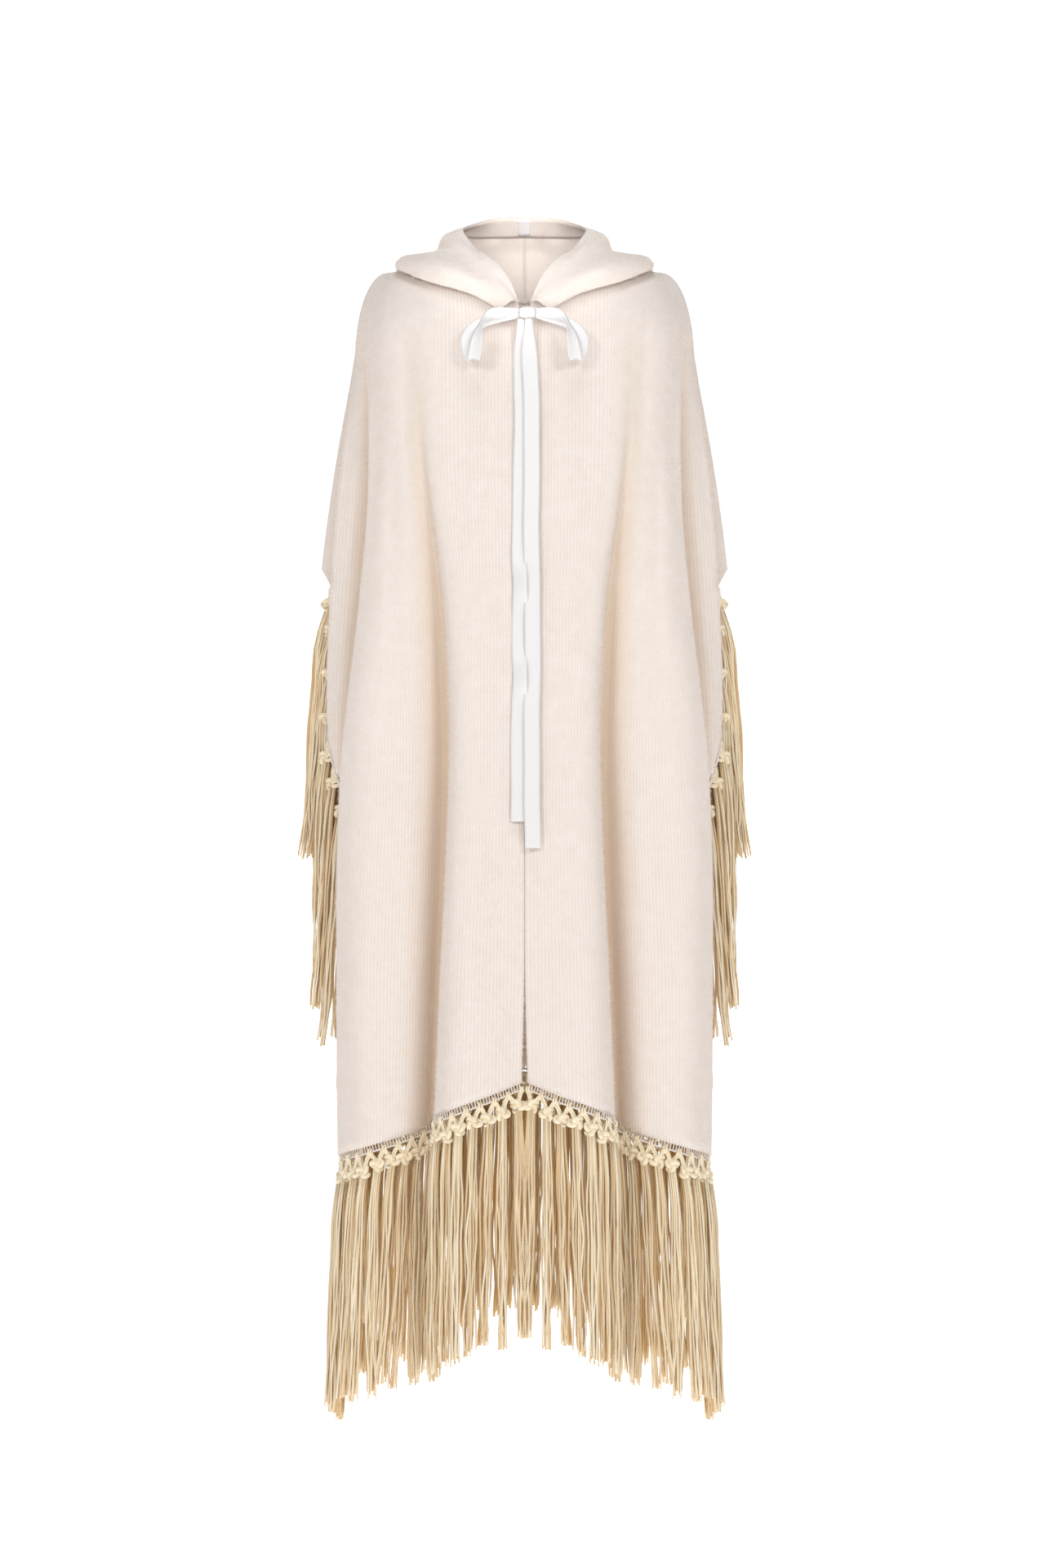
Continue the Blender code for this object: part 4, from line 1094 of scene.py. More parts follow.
@dataclass
class Hood:
    """The hood, lying back: two halves joined at the centre back, the face edge turned in as a band."""

    finishes: Finishes
    thick: float = 2.0
    section_steps: int = 96
    row_steps: int = 88
    clearance_steps: int = 24
    sampled_rows: tuple = (0.01, 1.25)
    rib: float = RIB_PITCH
    rib_height: float = 0.16
    # The soft folds in the hollow: how deep, how many, the section and the row where they start and the row
    # where they end, each with the length that this takes
    inner_fold: float = 4.2
    inner_folds: float = 8.8
    fold_sections: tuple = (0.5, 0.3)
    fold_rows: tuple = (0.45, 0.2)
    fold_end: tuple = (0.87, 0.06)
    band_rows: tuple = (0.855, 0.995)
    band_span: float = 0.5
    band_thick: float = 1.2
    band_crown: float = 0.5
    # The tape's rows and sections, half its width, how far it stands off the band, and its run of weave
    tape_rows: tuple = (0.868, 0.984)
    tape_sections: tuple = (1.0, 0.984, 0.968)
    tape_half: float = 8.0
    tape_off: float = 0.9
    tape_thick: float = 0.5
    tape_run: float = 25.0

    def __post_init__(self) -> None:
        """Works out how far each part of the hood has to be lifted to keep clear of the cloth under it."""
        rows = np.linspace(*self.sampled_rows, 32)
        rails = np.linspace(0, LAST_RAIL, 49)
        grid = np.meshgrid(rows, rails, indexing="ij")
        self.samples = np.concatenate([FORMS[side].points(*grid).reshape(-1, 3) for side in Side])
        self.sample_normals = np.concatenate([FORMS[side].normals(*grid).reshape(-1, 3) for side in Side])
        tree = kdtree.KDTree(len(self.samples))
        for k, point in enumerate(self.samples):
            tree.insert(point, k)
        tree.balance()
        self.knots = np.linspace(0, 1, self.clearance_steps + 1)
        free = self.free(self.knots, self.knots)
        self.lift = np.zeros_like(free)
        for i, row in enumerate(self.knots):
            need = np.interp(row, *zip(*HOOD_CLEARANCE))
            for j in range(len(self.knots)):
                _, k, away = tree.find(Vector(free[i, j]))
                if away <= CLEARANCE_REACH:
                    above = np.dot(free[i, j] - self.samples[k], self.sample_normals[k])
                    self.lift[i, j] = max(need - above, 0.0) * self.sample_normals[k]

    def free(self, sections: Array, rows: Array) -> Array:
        """Shapes the hood's outer face before it is lifted clear.

        Args:
            sections: shares of the way from the throat to the centre back.
            rows: shares of the way from the neck seam to the face edge.

        Returns:
            The face's points, [row][section].
        """
        ribs = hood_ribs(rows)
        weights = curve_weights(np.arange(len(ribs)), sections * (len(ribs) - 1))
        return np.einsum("ns,src->rnc", weights, ribs)

    def face(self, sections: Array, rows: Array) -> Array:
        """Shapes the hood's outer face.

        Args:
            sections: as for free.
            rows: as for free.

        Returns:
            The face's points, [row][section].
        """
        by_row = curve_weights(self.knots, rows)
        by_section = curve_weights(self.knots, sections)
        return self.free(sections, rows) + np.einsum("rk,nj,kjc->rnc", by_row, by_section, self.lift)

    def face_and_normals(self, sections: Array, rows: Array) -> tuple[Array, Array]:
        """Shapes the hood's outer face and finds which way it looks.

        Args:
            sections: as for free.
            rows: as for free.

        Returns:
            The face's points and outward directions, [row][section].
        """
        step = 0.01
        sides = [np.clip(sections + way, 0, 1) for way in (step, -step)]
        heights = [np.clip(rows + way, 0, 1) for way in (step, -step)]
        along = self.face(sides[0], rows) - self.face(sides[1], rows)
        up = self.face(sections, heights[0]) - self.face(sections, heights[1])
        normals = np.cross(along, up)
        normals[:, sections > 1 - step, 0] = 0.0
        return self.face(sections, rows), unit(normals)

    def make(self) -> None:
        """Builds both halves, the band and the tape."""
        sections = np.linspace(0, 1, self.section_steps + 1)
        rows = np.linspace(0, 1, self.row_steps + 1)
        points, normals = self.face_and_normals(sections, rows)
        length = run_length(points[len(rows) // 3])
        number = length / self.rib
        fade = np.minimum(ramp(rows / 0.1), ramp((1 - rows) / 0.06))[:, None]
        ribs = self.rib_height * np.cos(2 * np.pi * number)[None, :] * fade
        outer = points + normals * ribs[..., None]
        depth = self.thick + self.inner_waves(sections, rows)
        inner = points - normals * depth[..., None]
        for face in (outer, inner):
            face[..., 0] = np.maximum(face[..., 0], 0.01)
        height = run_length(points[:, len(sections) * 2 // 3])
        self.skin = (outer, normals)
        parts = MeshParts()
        cloth_shell(parts, outer, inner, flat_places(length, height), turn_out=True)
        self.halves = parts.build_pair("knit_hood", self.finishes.knit)
        self.make_band()
        self.make_tape()

    def inner_waves(self, sections: Array, rows: Array) -> Array:
        """Works out the soft folds that stand into the hood's hollow, below its band at the back.

        Args:
            sections: as for free.
            rows: as for free.

        Returns:
            How far each point of the inner face stands in.
        """
        at_back = ramp((sections - self.fold_sections[0]) / self.fold_sections[1])
        risen = ramp((rows - self.fold_rows[0]) / self.fold_rows[1])
        below_band = risen * ramp((self.fold_end[0] - rows) / self.fold_end[1])
        wave = 0.5 + 0.5 * np.cos(2 * np.pi * self.inner_folds * (1 - sections) + 0.8)
        return self.inner_fold * at_back[None, :] * below_band[:, None] * wave[None, :]

    def make_band(self) -> None:
        """Builds the hem turned in along the face edge, over the back half of the hood."""
        sections = np.linspace(1, self.band_span, 61)
        rows = np.linspace(*self.band_rows, 7)
        points, normals = self.face_and_normals(sections, rows)
        crown = self.band_crown * np.sin(np.pi * np.linspace(0, 1, len(rows)))[:, None, None]
        outer = points - normals * (self.thick + SEAM_GAP)
        inner = points - normals * (self.thick + SEAM_GAP + self.band_thick + crown)
        for face in (outer, inner):
            face[:, 0, 0] = 0.0
        uv = flat_places(run_length(points[0]), run_length(points[:, 0]))
        parts = MeshParts()
        cloth_shell(parts, whole(outer), whole(inner), whole(uv))
        self.band = parts.build("knit_hood_band", self.finishes.knit)

    def make_tape(self) -> None:
        """Builds the plain tape over the seam at the middle of the band."""
        rows = np.linspace(*self.tape_rows, 7)
        points, normals = self.face_and_normals(np.array(self.tape_sections), rows)
        normals[:, :, 0] = 0.0
        inward = -unit(normals)
        near = points + inward * (self.thick + SEAM_GAP + self.band_thick + self.tape_off)
        share = np.linspace(0, 1, 5)
        side = points[:, 2] - points[:, 0]
        across = side * (self.tape_half / side[:, :1])
        middle = near[:, 0] * np.array((0.0, 1.0, 1.0))
        near = middle[:, None] + across[:, None] * share[None, :, None]
        far = near + inward[:, :1] * self.tape_thick
        uv = flat_places(share * self.tape_half, np.linspace(0, self.tape_run, len(rows)))
        parts = MeshParts()
        cloth_shell(parts, whole(near), whole(far), whole(uv))
        self.tape = parts.build("hood_seam_tape", self.finishes.satin)

    def dress(self) -> None:
        """Says what each piece stands for."""
        for piece, node in zip(self.halves, ("hood_left", "hood_right")):
            stand_for(piece, node)
        stand_for(self.band, "hood_band")
        stand_for(self.tape, "hood_tape")


@dataclass
class RibbonBow:
    """The satin ribbon: a knot with two short loops and two long tails."""

    finishes: Finishes
    width: float = 19.0
    thick: float = 0.6
    # The knot: its middle and size, how square its belly is, how wide its ends stay, its pleats' depth and
    # number, and its weave's half width and radius
    knot_centre: tuple = (3.0, -138.0, -67.0)
    knot_size: tuple = (19.0, 10.0, 14.0)
    knot_square: float = 2.6
    knot_end: float = 0.35
    knot_pleats: tuple = (0.05, 5)
    knot_weave: tuple = (9.0, 6.0)
    # The two loops, as make_loop takes them
    knot_sides: tuple = (("left", 1, 12.7), ("right", -1, 6.7))
    # A loop's middle line, out and round and back: x, y, z, the ribbon's width, how steeply the width stands
    # and how far it turns toward the front, in degrees
    loop: tuple = (
        (13, -139, -67, 9, 90, 0),
        (28, -142, -68, 13, 90, 0),
        (43, -146, -71, 14, 78, 30),
        (51, -151, -82, 14, 45, 64),
        (56, -154, -97, 16, 22, 38),
        (59, -154, -115, 18, 8, 24),
        (61, -149, -125, 18, 3, 30),
        (65, -144.5, -118, 18, 8, 12),
        (68, -142.5, -103, 18, 28, 0),
        (63, -141, -89, 15, 50, 0),
        (50, -139, -79, 13, 72, 0),
        (30, -137.5, -73, 12, 88, 0),
        (13, -136.5, -69, 9, 90, 0),
    )
    loop_crown: float = 1.1
    # The two tails, as make_tail takes them
    tails: tuple = (
        ("ribbon_tail_front", (5, 8, 8.5, 9, 9, 9), -700.0, 5.0, ()),
        ("ribbon_tail_back", (-4, -3.5, -5, -6, -6, -7), -669.0, 0.85, ((-388.0, 26.0), (-498.0, 24.0))),
    )
    tail_start: float = -74.4
    tail_crown: float = 0.7
    # How far out each tail leaves the knot, the share of its length in which it settles on the cloth, and the
    # share of its width that it starts with
    tops_out: tuple = (9.5, 11.6)
    settle: float = 0.07
    gathered: float = 0.45
    twist: float = 0.55
    # The rail near the front edge whose cloth holds a tail off too
    edge_rail: float = 0.6

    def strip(self, name: str, path: Array, widths: Array, sides: Array, crown: float) -> Piece:
        """Builds a flat ribbon along a path.

        Args:
            name: the piece's name.
            path: the ribbon's middle line.
            widths: its width at each point.
            sides: the direction of its width at each point.
            crown: how far its middle stands off its edges.

        Returns:
            The ribbon.
        """
        sides = unit(sides)
        face = unit(np.cross(np.gradient(path, axis=0), sides))
        share = np.linspace(-1, 1, 7)
        bow = crown * (1 - share**2)
        middle = path[:, None] + sides[:, None] * (widths[:, None] * share / 2)[..., None]
        middle = middle + face[:, None] * bow[None, :, None]
        half = face[:, None] * self.thick / 2
        uv = flat_places(share * self.width / 2, run_length(path))
        parts = MeshParts()
        cloth_shell(parts, middle + half, middle - half, uv)
        return parts.build(name, self.finishes.satin)

    def make(self) -> None:
        """Builds the loops, the knot and the tails."""
        self.loops = [self.make_loop(side, sign, start) for side, sign, start in self.knot_sides]
        self.knot = self.make_knot()
        self.hanging = [self.make_tail(*tail, top_out) for tail, top_out in zip(self.tails, self.tops_out)]

    def make_loop(self, side: str, sign: int, start: float) -> Piece:
        """Builds the loop on one side, from the knot out and down and back behind itself.

        Args:
            side: the side's name.
            sign: 1 for the wearer's left and -1 for the right.
            start: how far to that side the ribbon leaves the knot.

        Returns:
            The loop.
        """
        table = np.array(self.loop, float)
        table[0, 0] = table[-1, 0] = start
        rows = smooth_curve(np.arange(len(table)), table, np.linspace(0, len(table) - 1, 97))
        path = rows[:, :3] * (sign, 1.0, 1.0)
        turn, on_edge = np.radians(rows[:, 4]), np.radians(rows[:, 5])
        sides = np.stack([sign * np.cos(turn), np.zeros_like(turn), np.sin(turn)], axis=-1)
        sides = sides * np.cos(on_edge)[:, None]
        sides[:, 1] += np.sin(on_edge)
        return self.strip(f"bow_loop_{side}", path, rows[:, 3], sides, crown=-self.loop_crown * sign)

    def make_tail(
        self, name: str, drift: tuple, end: float, lift: float, twists: tuple, top_out: float
    ) -> Piece:
        """Builds a tail down the front of the cloth.

        Args:
            name: the CAD node that it stands for.
            drift: x at even steps down the tail.
            end: the height of its cut end.
            lift: how far it lies off the cloth.
            twists: the height and half length of each stretch where it turns on edge.
            top_out: how far out it leaves the knot.

        Returns:
            The tail.
        """
        share = np.linspace(0, 1, 221)
        z = self.tail_start + (end - self.tail_start) * share
        x = smooth_curve(np.arange(len(drift)), drift, share * (len(drift) - 1))
        x = x + 0.5 * np.sin(z / 41.0) + 0.3 * np.sin(z / 17.0 + lift)
        on_cloth = np.minimum(z, CHEST_Z)
        form, rails = FORMS[FRONT], (0.0, self.edge_rail)
        face = np.minimum(*(form.section(on_cloth, np.full_like(z, rail))[:, 1] for rail in rails))
        settled = ramp(share / self.settle)
        turn = np.zeros_like(z)
        for height, half in twists:
            turn += self.twist * np.exp(-(((z - height) / half) ** 2))
        width = self.width * (self.gathered + (1 - self.gathered) * settled)
        rise = np.abs(np.sin(turn)) * width / 2
        y = face - lift - top_out * (1 - settled) - rise - 0.5 + 0.5 * np.cos(z / 23.0)
        sides = np.stack([np.cos(turn), -np.sin(turn), np.zeros_like(turn)], axis=-1)
        path = np.stack([x, y, z], axis=-1)
        return self.strip(name.replace("ribbon", "bow"), path, width, sides, self.tail_crown)

    def make_knot(self) -> Piece:
        """Builds the knot: one turn of gathered ribbon round the bow's waist.

        Returns:
            The knot.
        """
        around = np.linspace(0, 2 * np.pi, 49)[:-1]
        up = np.linspace(-1, 1, 25)
        a, v = np.meshgrid(around, up, indexing="ij")
        belly = (1 - np.abs(v) ** self.knot_square) ** (1 / self.knot_square)
        depth, number = self.knot_pleats
        pleats = 1 + depth * np.cos(number * np.pi * v + 0.8 * np.sin(a)) * belly
        size = np.array(self.knot_size) / 2
        girth = (self.knot_end + (1 - self.knot_end) * belly) * pleats
        x = size[0] * v
        y = size[1] * np.sin(a) * girth
        z = size[2] * np.cos(a) * girth
        points = np.stack([x, y, z], axis=-1) + np.array(self.knot_centre)
        closed = np.concatenate([points, points[:1]], axis=0)
        rows, columns = closed.shape[:2]
        quads = grid_quads(rows, columns)[:, ::-1] % (len(around) * columns)
        ends = []
        for column, way in ((0, 1), (columns - 1, -1)):
            ring = (np.arange(len(around)) * columns + column)[::way]
            ends += [(ring[0], ring[k + 1], ring[k]) for k in range(1, len(ring) - 1)]
        uv = flat_places(up * self.knot_weave[0], around * self.knot_weave[1])
        parts = MeshParts()
        parts.add(points, quads, np.array(ends), uv)
        return parts.build("bow_knot", self.finishes.satin)

    def dress(self) -> None:
        """Says what each piece stands for."""
        for piece, (side, _, _) in zip(self.loops, self.knot_sides):
            stand_for(piece, f"ribbon_loop_{side}")
        stand_for(self.knot, "ribbon_knot")
        for piece, (node, _, end, _, _) in zip(self.hanging, self.tails):
            stand_for(piece, node)


@dataclass
class HangingLine:
    """A line of points along a cloth's edge, with the direction that the cloth faces at each."""

    points: Array
    normals: Array

    def __post_init__(self) -> None:
        """Measures along the line."""
        self.along = run_length(self.points)
        self.length = float(self.along[-1])

    def at(self, places: Array) -> tuple[Array, Array, Array]:
        """Reads the line by the length along it.

        Args:
            places: millimetres along the line.

        Returns:
            The points, the level facing directions, and the level directions along the line.
        """
        behind, point, ahead = (read_along(places + step, self.along, self.points) for step in (-1, 0, 1))
        normal = unit(read_along(places, self.along, self.normals) * LEVEL)
        across = unit(np.cross(UP, normal))
        across *= np.sign(np.sum(across * (ahead - behind), axis=-1, keepdims=True))
        return point, normal, across


def uneven(k: Array) -> Array:
    """How much longer or shorter each tassel, by its number, is than the fringe as a whole."""
    return TASSEL_UNEVEN * np.sin(2.3 * k + 0.7 * np.sin(1.7 * k))


@dataclass
class TasselMaker:
    """Makes the knots and tassels of the fringe, strand by strand."""

    seed: int
    # How far below the cloth's edge the tassels end and the knots are, and below a knot its yarns start
    drop: float = 296.0
    knot_drop: float = 22.0
    below_knot: float = 3.0
    knot_size: tuple = (7.6, 5.2, 6.0)
    knot_yarn: float = 2.95
    knot_core: float = 3.4
    knot_steps: int = 34
    # A bunch of the net: each strand's radius and how far it winds round the others, in radians
    leg_yarn: float = 1.6
    leg_twist: float = 2.4
    yarns: int = 13
    yarn_radius: float = 1.25
    yarn_steps: int = 14
    yarn_sides: int = 4
    # Half a tassel's width and depth at its top, in the middle and at its end
    top_spread: tuple = (5.0, 3.6)
    mid_spread: tuple = (7.8, 4.6)
    end_spread: tuple = (6.6, 4.6)
    # The turn from one yarn to the next round a tassel: the golden angle, in radians, spreads them evenly
    yarn_turn: float = 2.4
    # How far a tassel drifts, its yarns' waves and their lengths, uneven ends, parting and uneven width
    sway: float = 6.0
    wave: float = 1.5
    wave_spans: tuple = (85.0, 210.0)
    ragged: float = 9.0
    flare: float = 1.8
    loose: float = 0.25

    def __post_init__(self) -> None:
        """Starts this fringe's own run of random numbers."""
        self.chance = np.random.default_rng(self.seed)
        self.parts = MeshParts()

    def knots(self, centres: Array, across: Array, normals: Array, sizes: Array) -> None:
        """Adds overhand knots: one thick strand that loops through itself.

        Args:
            centres: the middle of each knot.
            across: the direction along the cloth's edge.
            normals: the direction that the cloth faces.
            sizes: how big each is, 1 being full size.
        """
        t = np.linspace(0, 2 * np.pi, self.knot_steps + 1)
        wide, deep, high = self.knot_size
        lobes = (np.sin(t) + 2 * np.sin(2 * t), np.cos(t) - 2 * np.cos(2 * t))
        curve = np.stack([lobes[0] / 2.7, -np.sin(3 * t) * 0.55, lobes[1] / 2.7], axis=-1)
        for centre, side, face, size in zip(centres, across, normals, sizes):
            turn = self.chance.uniform(-0.5, 0.5)
            cos, sin = math.cos(turn), math.sin(turn)
            lean = np.array([[cos, 0, sin], [0, 1, 0], [-sin, 0, cos]])
            scale = np.array((wide, deep, high)) * size * self.chance.uniform(0.92, 1.1, 3)
            local = (curve @ lean.T) * scale
            path = centre + local[:, :1] * side + local[:, 1:2] * face + local[:, 2:] * UP
            radii = np.full(len(t), self.knot_yarn * size)
            tubes(self.parts, path[None], radii[None], 6, tuple(side * 0.31 + face * 0.17 + 0.93 * UP))
        core = centres[:, None] + np.linspace(0.9, -0.9, 7)[None, :, None] * high * UP
        bulge = self.knot_core * np.sin(np.linspace(0.25, np.pi - 0.25, 7))
        tubes(self.parts, core, sizes[:, None] * bulge[None, :], 8)

    def legs(self, starts: Array, ends: Array, normals: Array, sizes: Array) -> None:
        """Adds the slanting bunches of the net, three strands in each.

        Args:
            starts: where each leaves the cloth's edge.
            ends: the knot that it runs into.
            normals: the direction that the cloth faces.
            sizes: how thick each is, 1 being full size.
        """
        share = np.linspace(0, 1, 8)
        straight = starts[:, None] + (ends - starts)[:, None] * share[None, :, None]
        side = unit(np.cross(ends - starts, normals))
        belly = np.sin(np.pi * share)
        for k in range(3):
            turn = 2 * np.pi * k / 3 + self.leg_twist * share
            off = side[:, None] * np.cos(turn)[None, :, None] + normals[:, None] * np.sin(turn)[None, :, None]
            apart = self.leg_yarn * 0.95 * sizes[:, None, None]
            bow = normals[:, None] * (belly * self.chance.uniform(-0.8, 1.4))[None, :, None]
            radii = sizes[:, None] * np.full((1, len(share)), self.leg_yarn)
            tubes(self.parts, straight + off * apart + bow, radii, 5)

    def tassels(self, knots: Array, across: Array, normals: Array, leans: Array, sizes: Array) -> None:
        """Adds a tassel of wavy yarns under each knot.

        Args:
            knots: the middle of each knot.
            across: the direction along the cloth's edge.
            normals: the direction that the cloth faces.
            leans: how far each tassel's end stands off its knot, in x and y.
            sizes: how full each is, 1 being full size.
        """
        count = len(knots)
        tops = knots - UP * self.below_knot
        drops = self.drop - self.knot_drop - self.below_knot + uneven(np.arange(count))
        share = np.linspace(0, 1, self.yarn_steps) ** 0.9
        chance = self.chance
        swing = np.interp(share, (0.0, 0.14, 1.0), (0.0, 0.4, 1.0))
        paths, radii, depths = [], [], []
        own_sway = chance.normal(0, self.sway * 0.6, (count, 2))
        for k in range(self.yarns):
            length = drops + chance.uniform(-self.ragged, self.ragged * 0.35, count)
            radius = math.sqrt((k + 0.5) / self.yarns)
            turn = self.yarn_turn * k + chance.uniform(-0.5, 0.5, count)
            opened, gathered = ramp(share / 0.35), ramp((share - 0.5) / 0.5)
            wide, deep = (
                top + (middle - top) * opened + (end - middle) * gathered
                for top, middle, end in zip(self.top_spread, self.mid_spread, self.end_spread)
            )
            loose = 1 + self.loose * chance.normal(0, 1, (count, 1)) * share
            side = wide * loose * sizes[:, None] * radius * np.cos(turn)[:, None]
            side = side + self.flare * chance.normal(0, 1, (count, 1)) * ramp((share - 0.45) / 0.55) ** 2
            face = deep * sizes[:, None] * radius * np.sin(turn)[:, None]
            for _ in range(2):
                span = chance.uniform(*self.wave_spans, (count, 1))
                phase = chance.uniform(0, 2 * np.pi, (count, 1))
                swell = self.wave * chance.uniform(0.3, 1.0, (count, 1)) * ramp(share / 0.4)[None]
                side = side + swell * np.sin(2 * np.pi * share[None] * length[:, None] / span + phase)
                face = face + 0.6 * swell * np.cos(2 * np.pi * share[None] * length[:, None] / span + phase)
            path = tops[:, None] + side[..., None] * across[:, None] + face[..., None] * normals[:, None]
            path[..., 0] += leans[:, :1] * swing + own_sway[:, :1] * share**2
            path[..., 1] += leans[:, 1:] * swing + own_sway[:, 1:] * share**2
            path[..., 2] -= share[None] * length[:, None]
            tip = 1 - 0.2 * ramp((share - 0.94) / 0.06)
            own_radii = self.yarn_radius * chance.uniform(0.85, 1.15, (count, 1)) * tip
            # Painted shade: strands at the back of the tassel get a darker tone, those at its front a lighter
            # one
            behind = 0.5 - 0.5 * radius * np.sin(turn) + chance.uniform(-0.3, 0.3, count)
            paths.append(path)
            radii.append(own_radii)
            depths.append(np.clip(behind, 0, 1))
        strands = (np.concatenate(values) for values in (paths, radii))
        tubes(self.parts, *strands, self.yarn_sides, painted_shade_depths=np.concatenate(depths))


@dataclass
class HemFringe:
    """The netted fringe along a hem: a header cord, crossing bunches, a knot for each two, and its tassel."""

    side: Side
    finishes: Finishes
    pitch: float = 17.6
    # How far the outermost tassel leans out, and the half width at which it does
    lean: float = 14.0
    lean_at: float = 220.0
    # The room that a knot needs for its full size
    room_wanted: float = 15.5
    # How far the first lock stands over toward the slit, and over how many locks that fades
    toward_middle: float = 4.0
    middle_locks: float = 1.2
    knot_jitter: float = 2.2
    leg_overlap: float = 2.0
    loop_radius: float = 2.9
    loop_yarn: float = 1.35
    loop_apart: float = 1.4
    header_radius: float = 1.1
    header_drop: float = 3.0
    # The slanting bars: their pitch, radius, lean, reach into the cloth and bow
    bar_pitch: float = 3.6
    bar_radii: tuple = ((FRONT, 0.72), (BACK, 1.3))
    bar_slant: float = 1.1
    bar_into_cloth: float = 1.5
    bar_bow: float = 0.7
    # The back's net is fuller: its bunches' yarn, and its tassels' half width and depth, top and middle
    back_leg_yarn: float = 2.1
    back_spreads: tuple = ((7.8, 3.8), (9.4, 4.8))
    seeds: tuple = ((FRONT, 11), (BACK, 23))

    def line(self) -> HangingLine:
        """Follows the middle of the cloth's thickness along its hem.

        Returns:
            The line, from the middle of the poncho outward or, on the back, from side to side.
        """
        form = FORMS[self.side]
        rails = np.linspace(0, float(form.last_rail(2.0)), 240)
        rows = np.full_like(rails, 2.0)
        normals = unit(form.normals(rows, rails) * LEVEL)
        points = form.points(rows, rails) - normals * CLOTH_THICK / 2
        if self.side is BACK:
            points, normals = whole(points[None])[0], whole(normals[None])[0]
        return HangingLine(points, normals)

    def make(self) -> None:
        """Builds the fringe and the open row of stitches above it."""
        line = self.line()
        count = round(line.length / self.pitch)
        pitch = line.length / count
        number = np.arange(count)
        roots, root_normals, _ = line.at(np.arange(count + 1) * pitch)
        places = (number + 0.5) * pitch
        if self.side is FRONT:
            places = places - self.toward_middle * np.exp(-number / self.middle_locks)
        centres, normals, across = line.at(places)
        gaps = np.linalg.norm(np.diff(centres, axis=0), axis=1)
        room = np.minimum(np.concatenate([gaps[:1], gaps]), np.concatenate([gaps, gaps[-1:]]))
        sizes = np.minimum(1.0, room / self.room_wanted)
        maker = TasselMaker(dict(self.seeds)[self.side])
        if self.side is BACK:
            maker.leg_yarn = self.back_leg_yarn
            maker.top_spread, maker.mid_spread = self.back_spreads
        jitter = maker.chance.uniform(-self.knot_jitter, self.knot_jitter, count)
        knots = centres - UP * (maker.knot_drop + jitter)[:, None]
        knots = knots + across * maker.chance.uniform(-1, 1, (count, 1))
        roots = roots - UP * (self.header_drop + 0.5)
        leg_ends = knots + UP * self.leg_overlap
        maker.legs(roots[:-1], leg_ends, root_normals[:-1], sizes)
        maker.legs(roots[1:], leg_ends, root_normals[1:], sizes)
        if self.side is BACK:
            maker.legs((roots[:-1] + roots[1:]) / 2, leg_ends, normals, sizes)
        self.root_loops(maker, roots, root_normals, sizes)
        maker.knots(knots, across, normals, sizes)
        leans = np.stack([self.lean * centres[:, 0] / self.lean_at, np.zeros(count)], axis=-1)
        if self.side is FRONT:
            leans[0, 0] -= self.toward_middle
        maker.tassels(knots, across, normals, leans, sizes)
        self.fringes = maker.parts.build_for(self.side, "fringe_front", "fringe_back", self.finishes.yarn)
        self.make_ladder(line)

    def root_loops(self, maker: TasselMaker, roots: Array, normals: Array, sizes: Array) -> None:
        """Adds the loops by which each bunch hangs on the header cord.

        Args:
            maker: the fringe that they go into.
            roots: where each bunch starts.
            normals: the direction that the cloth faces.
            sizes: how thick each lock is, 1 being full size.
        """
        turn = np.linspace(-0.5 * np.pi, 1.5 * np.pi, 13)
        path = roots[:, None] + normals[:, None] * (self.loop_radius * np.cos(turn))[None, :, None]
        path = path + UP * (self.loop_radius * np.sin(turn) * 1.1 + 0.8)[None, :, None]
        full = np.concatenate([sizes[:1], sizes])
        radii = full[:, None] * np.full((1, len(turn)), self.loop_yarn)
        across = unit(np.cross(UP, normals))
        for off in (-self.loop_apart, self.loop_apart):
            paths = path + across[:, None] * off
            for k in range(len(paths)):
                tubes(maker.parts, paths[k : k + 1], radii[k : k + 1], 5, tuple(across[k]))

    def make_ladder(self, line: HangingLine) -> None:
        """Builds the header cord and the slanting bars that join it to the cloth.

        Args:
            line: the cloth's hem.
        """
        count = round(line.length / self.bar_pitch)
        places = (np.arange(count) + 0.5) * line.length / count
        points, normals, across = line.at(places)
        share = np.linspace(0, 1, 5)
        rise = HEM_OPEN[self.side] + self.bar_into_cloth + self.header_drop
        low = points - UP * self.header_drop - across * self.bar_slant
        path = low[:, None] + UP * (rise * share)[None, :, None]
        path = path + across[:, None] * (2 * self.bar_slant * share)[None, :, None]
        path = path + normals[:, None] * (self.bar_bow * np.sin(np.pi * share))[None, :, None]
        parts = MeshParts()
        tubes(parts, path, np.full(path.shape[:2], dict(self.bar_radii)[self.side]), 4)
        cord, _, _ = line.at(np.linspace(0, line.length, count))
        cord = cord - UP * self.header_drop
        tubes(parts, cord[None], np.full((1, len(cord)), self.header_radius), 7, (0.0, 0.0, 1.0))
        self.ladders = parts.build_for(self.side, "hem_stitches", "hem_stitches_back", self.finishes.knit)

    def dress(self) -> None:
        """Says what each piece stands for."""
        ends = ("front_left", "front_right") if self.side is FRONT else ("back",)
        for fringe, end in zip(self.fringes, ends):
            stand_for(fringe, f"fringe_hem_{end}")
        for ladder in self.ladders:
            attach(ladder, BODY)


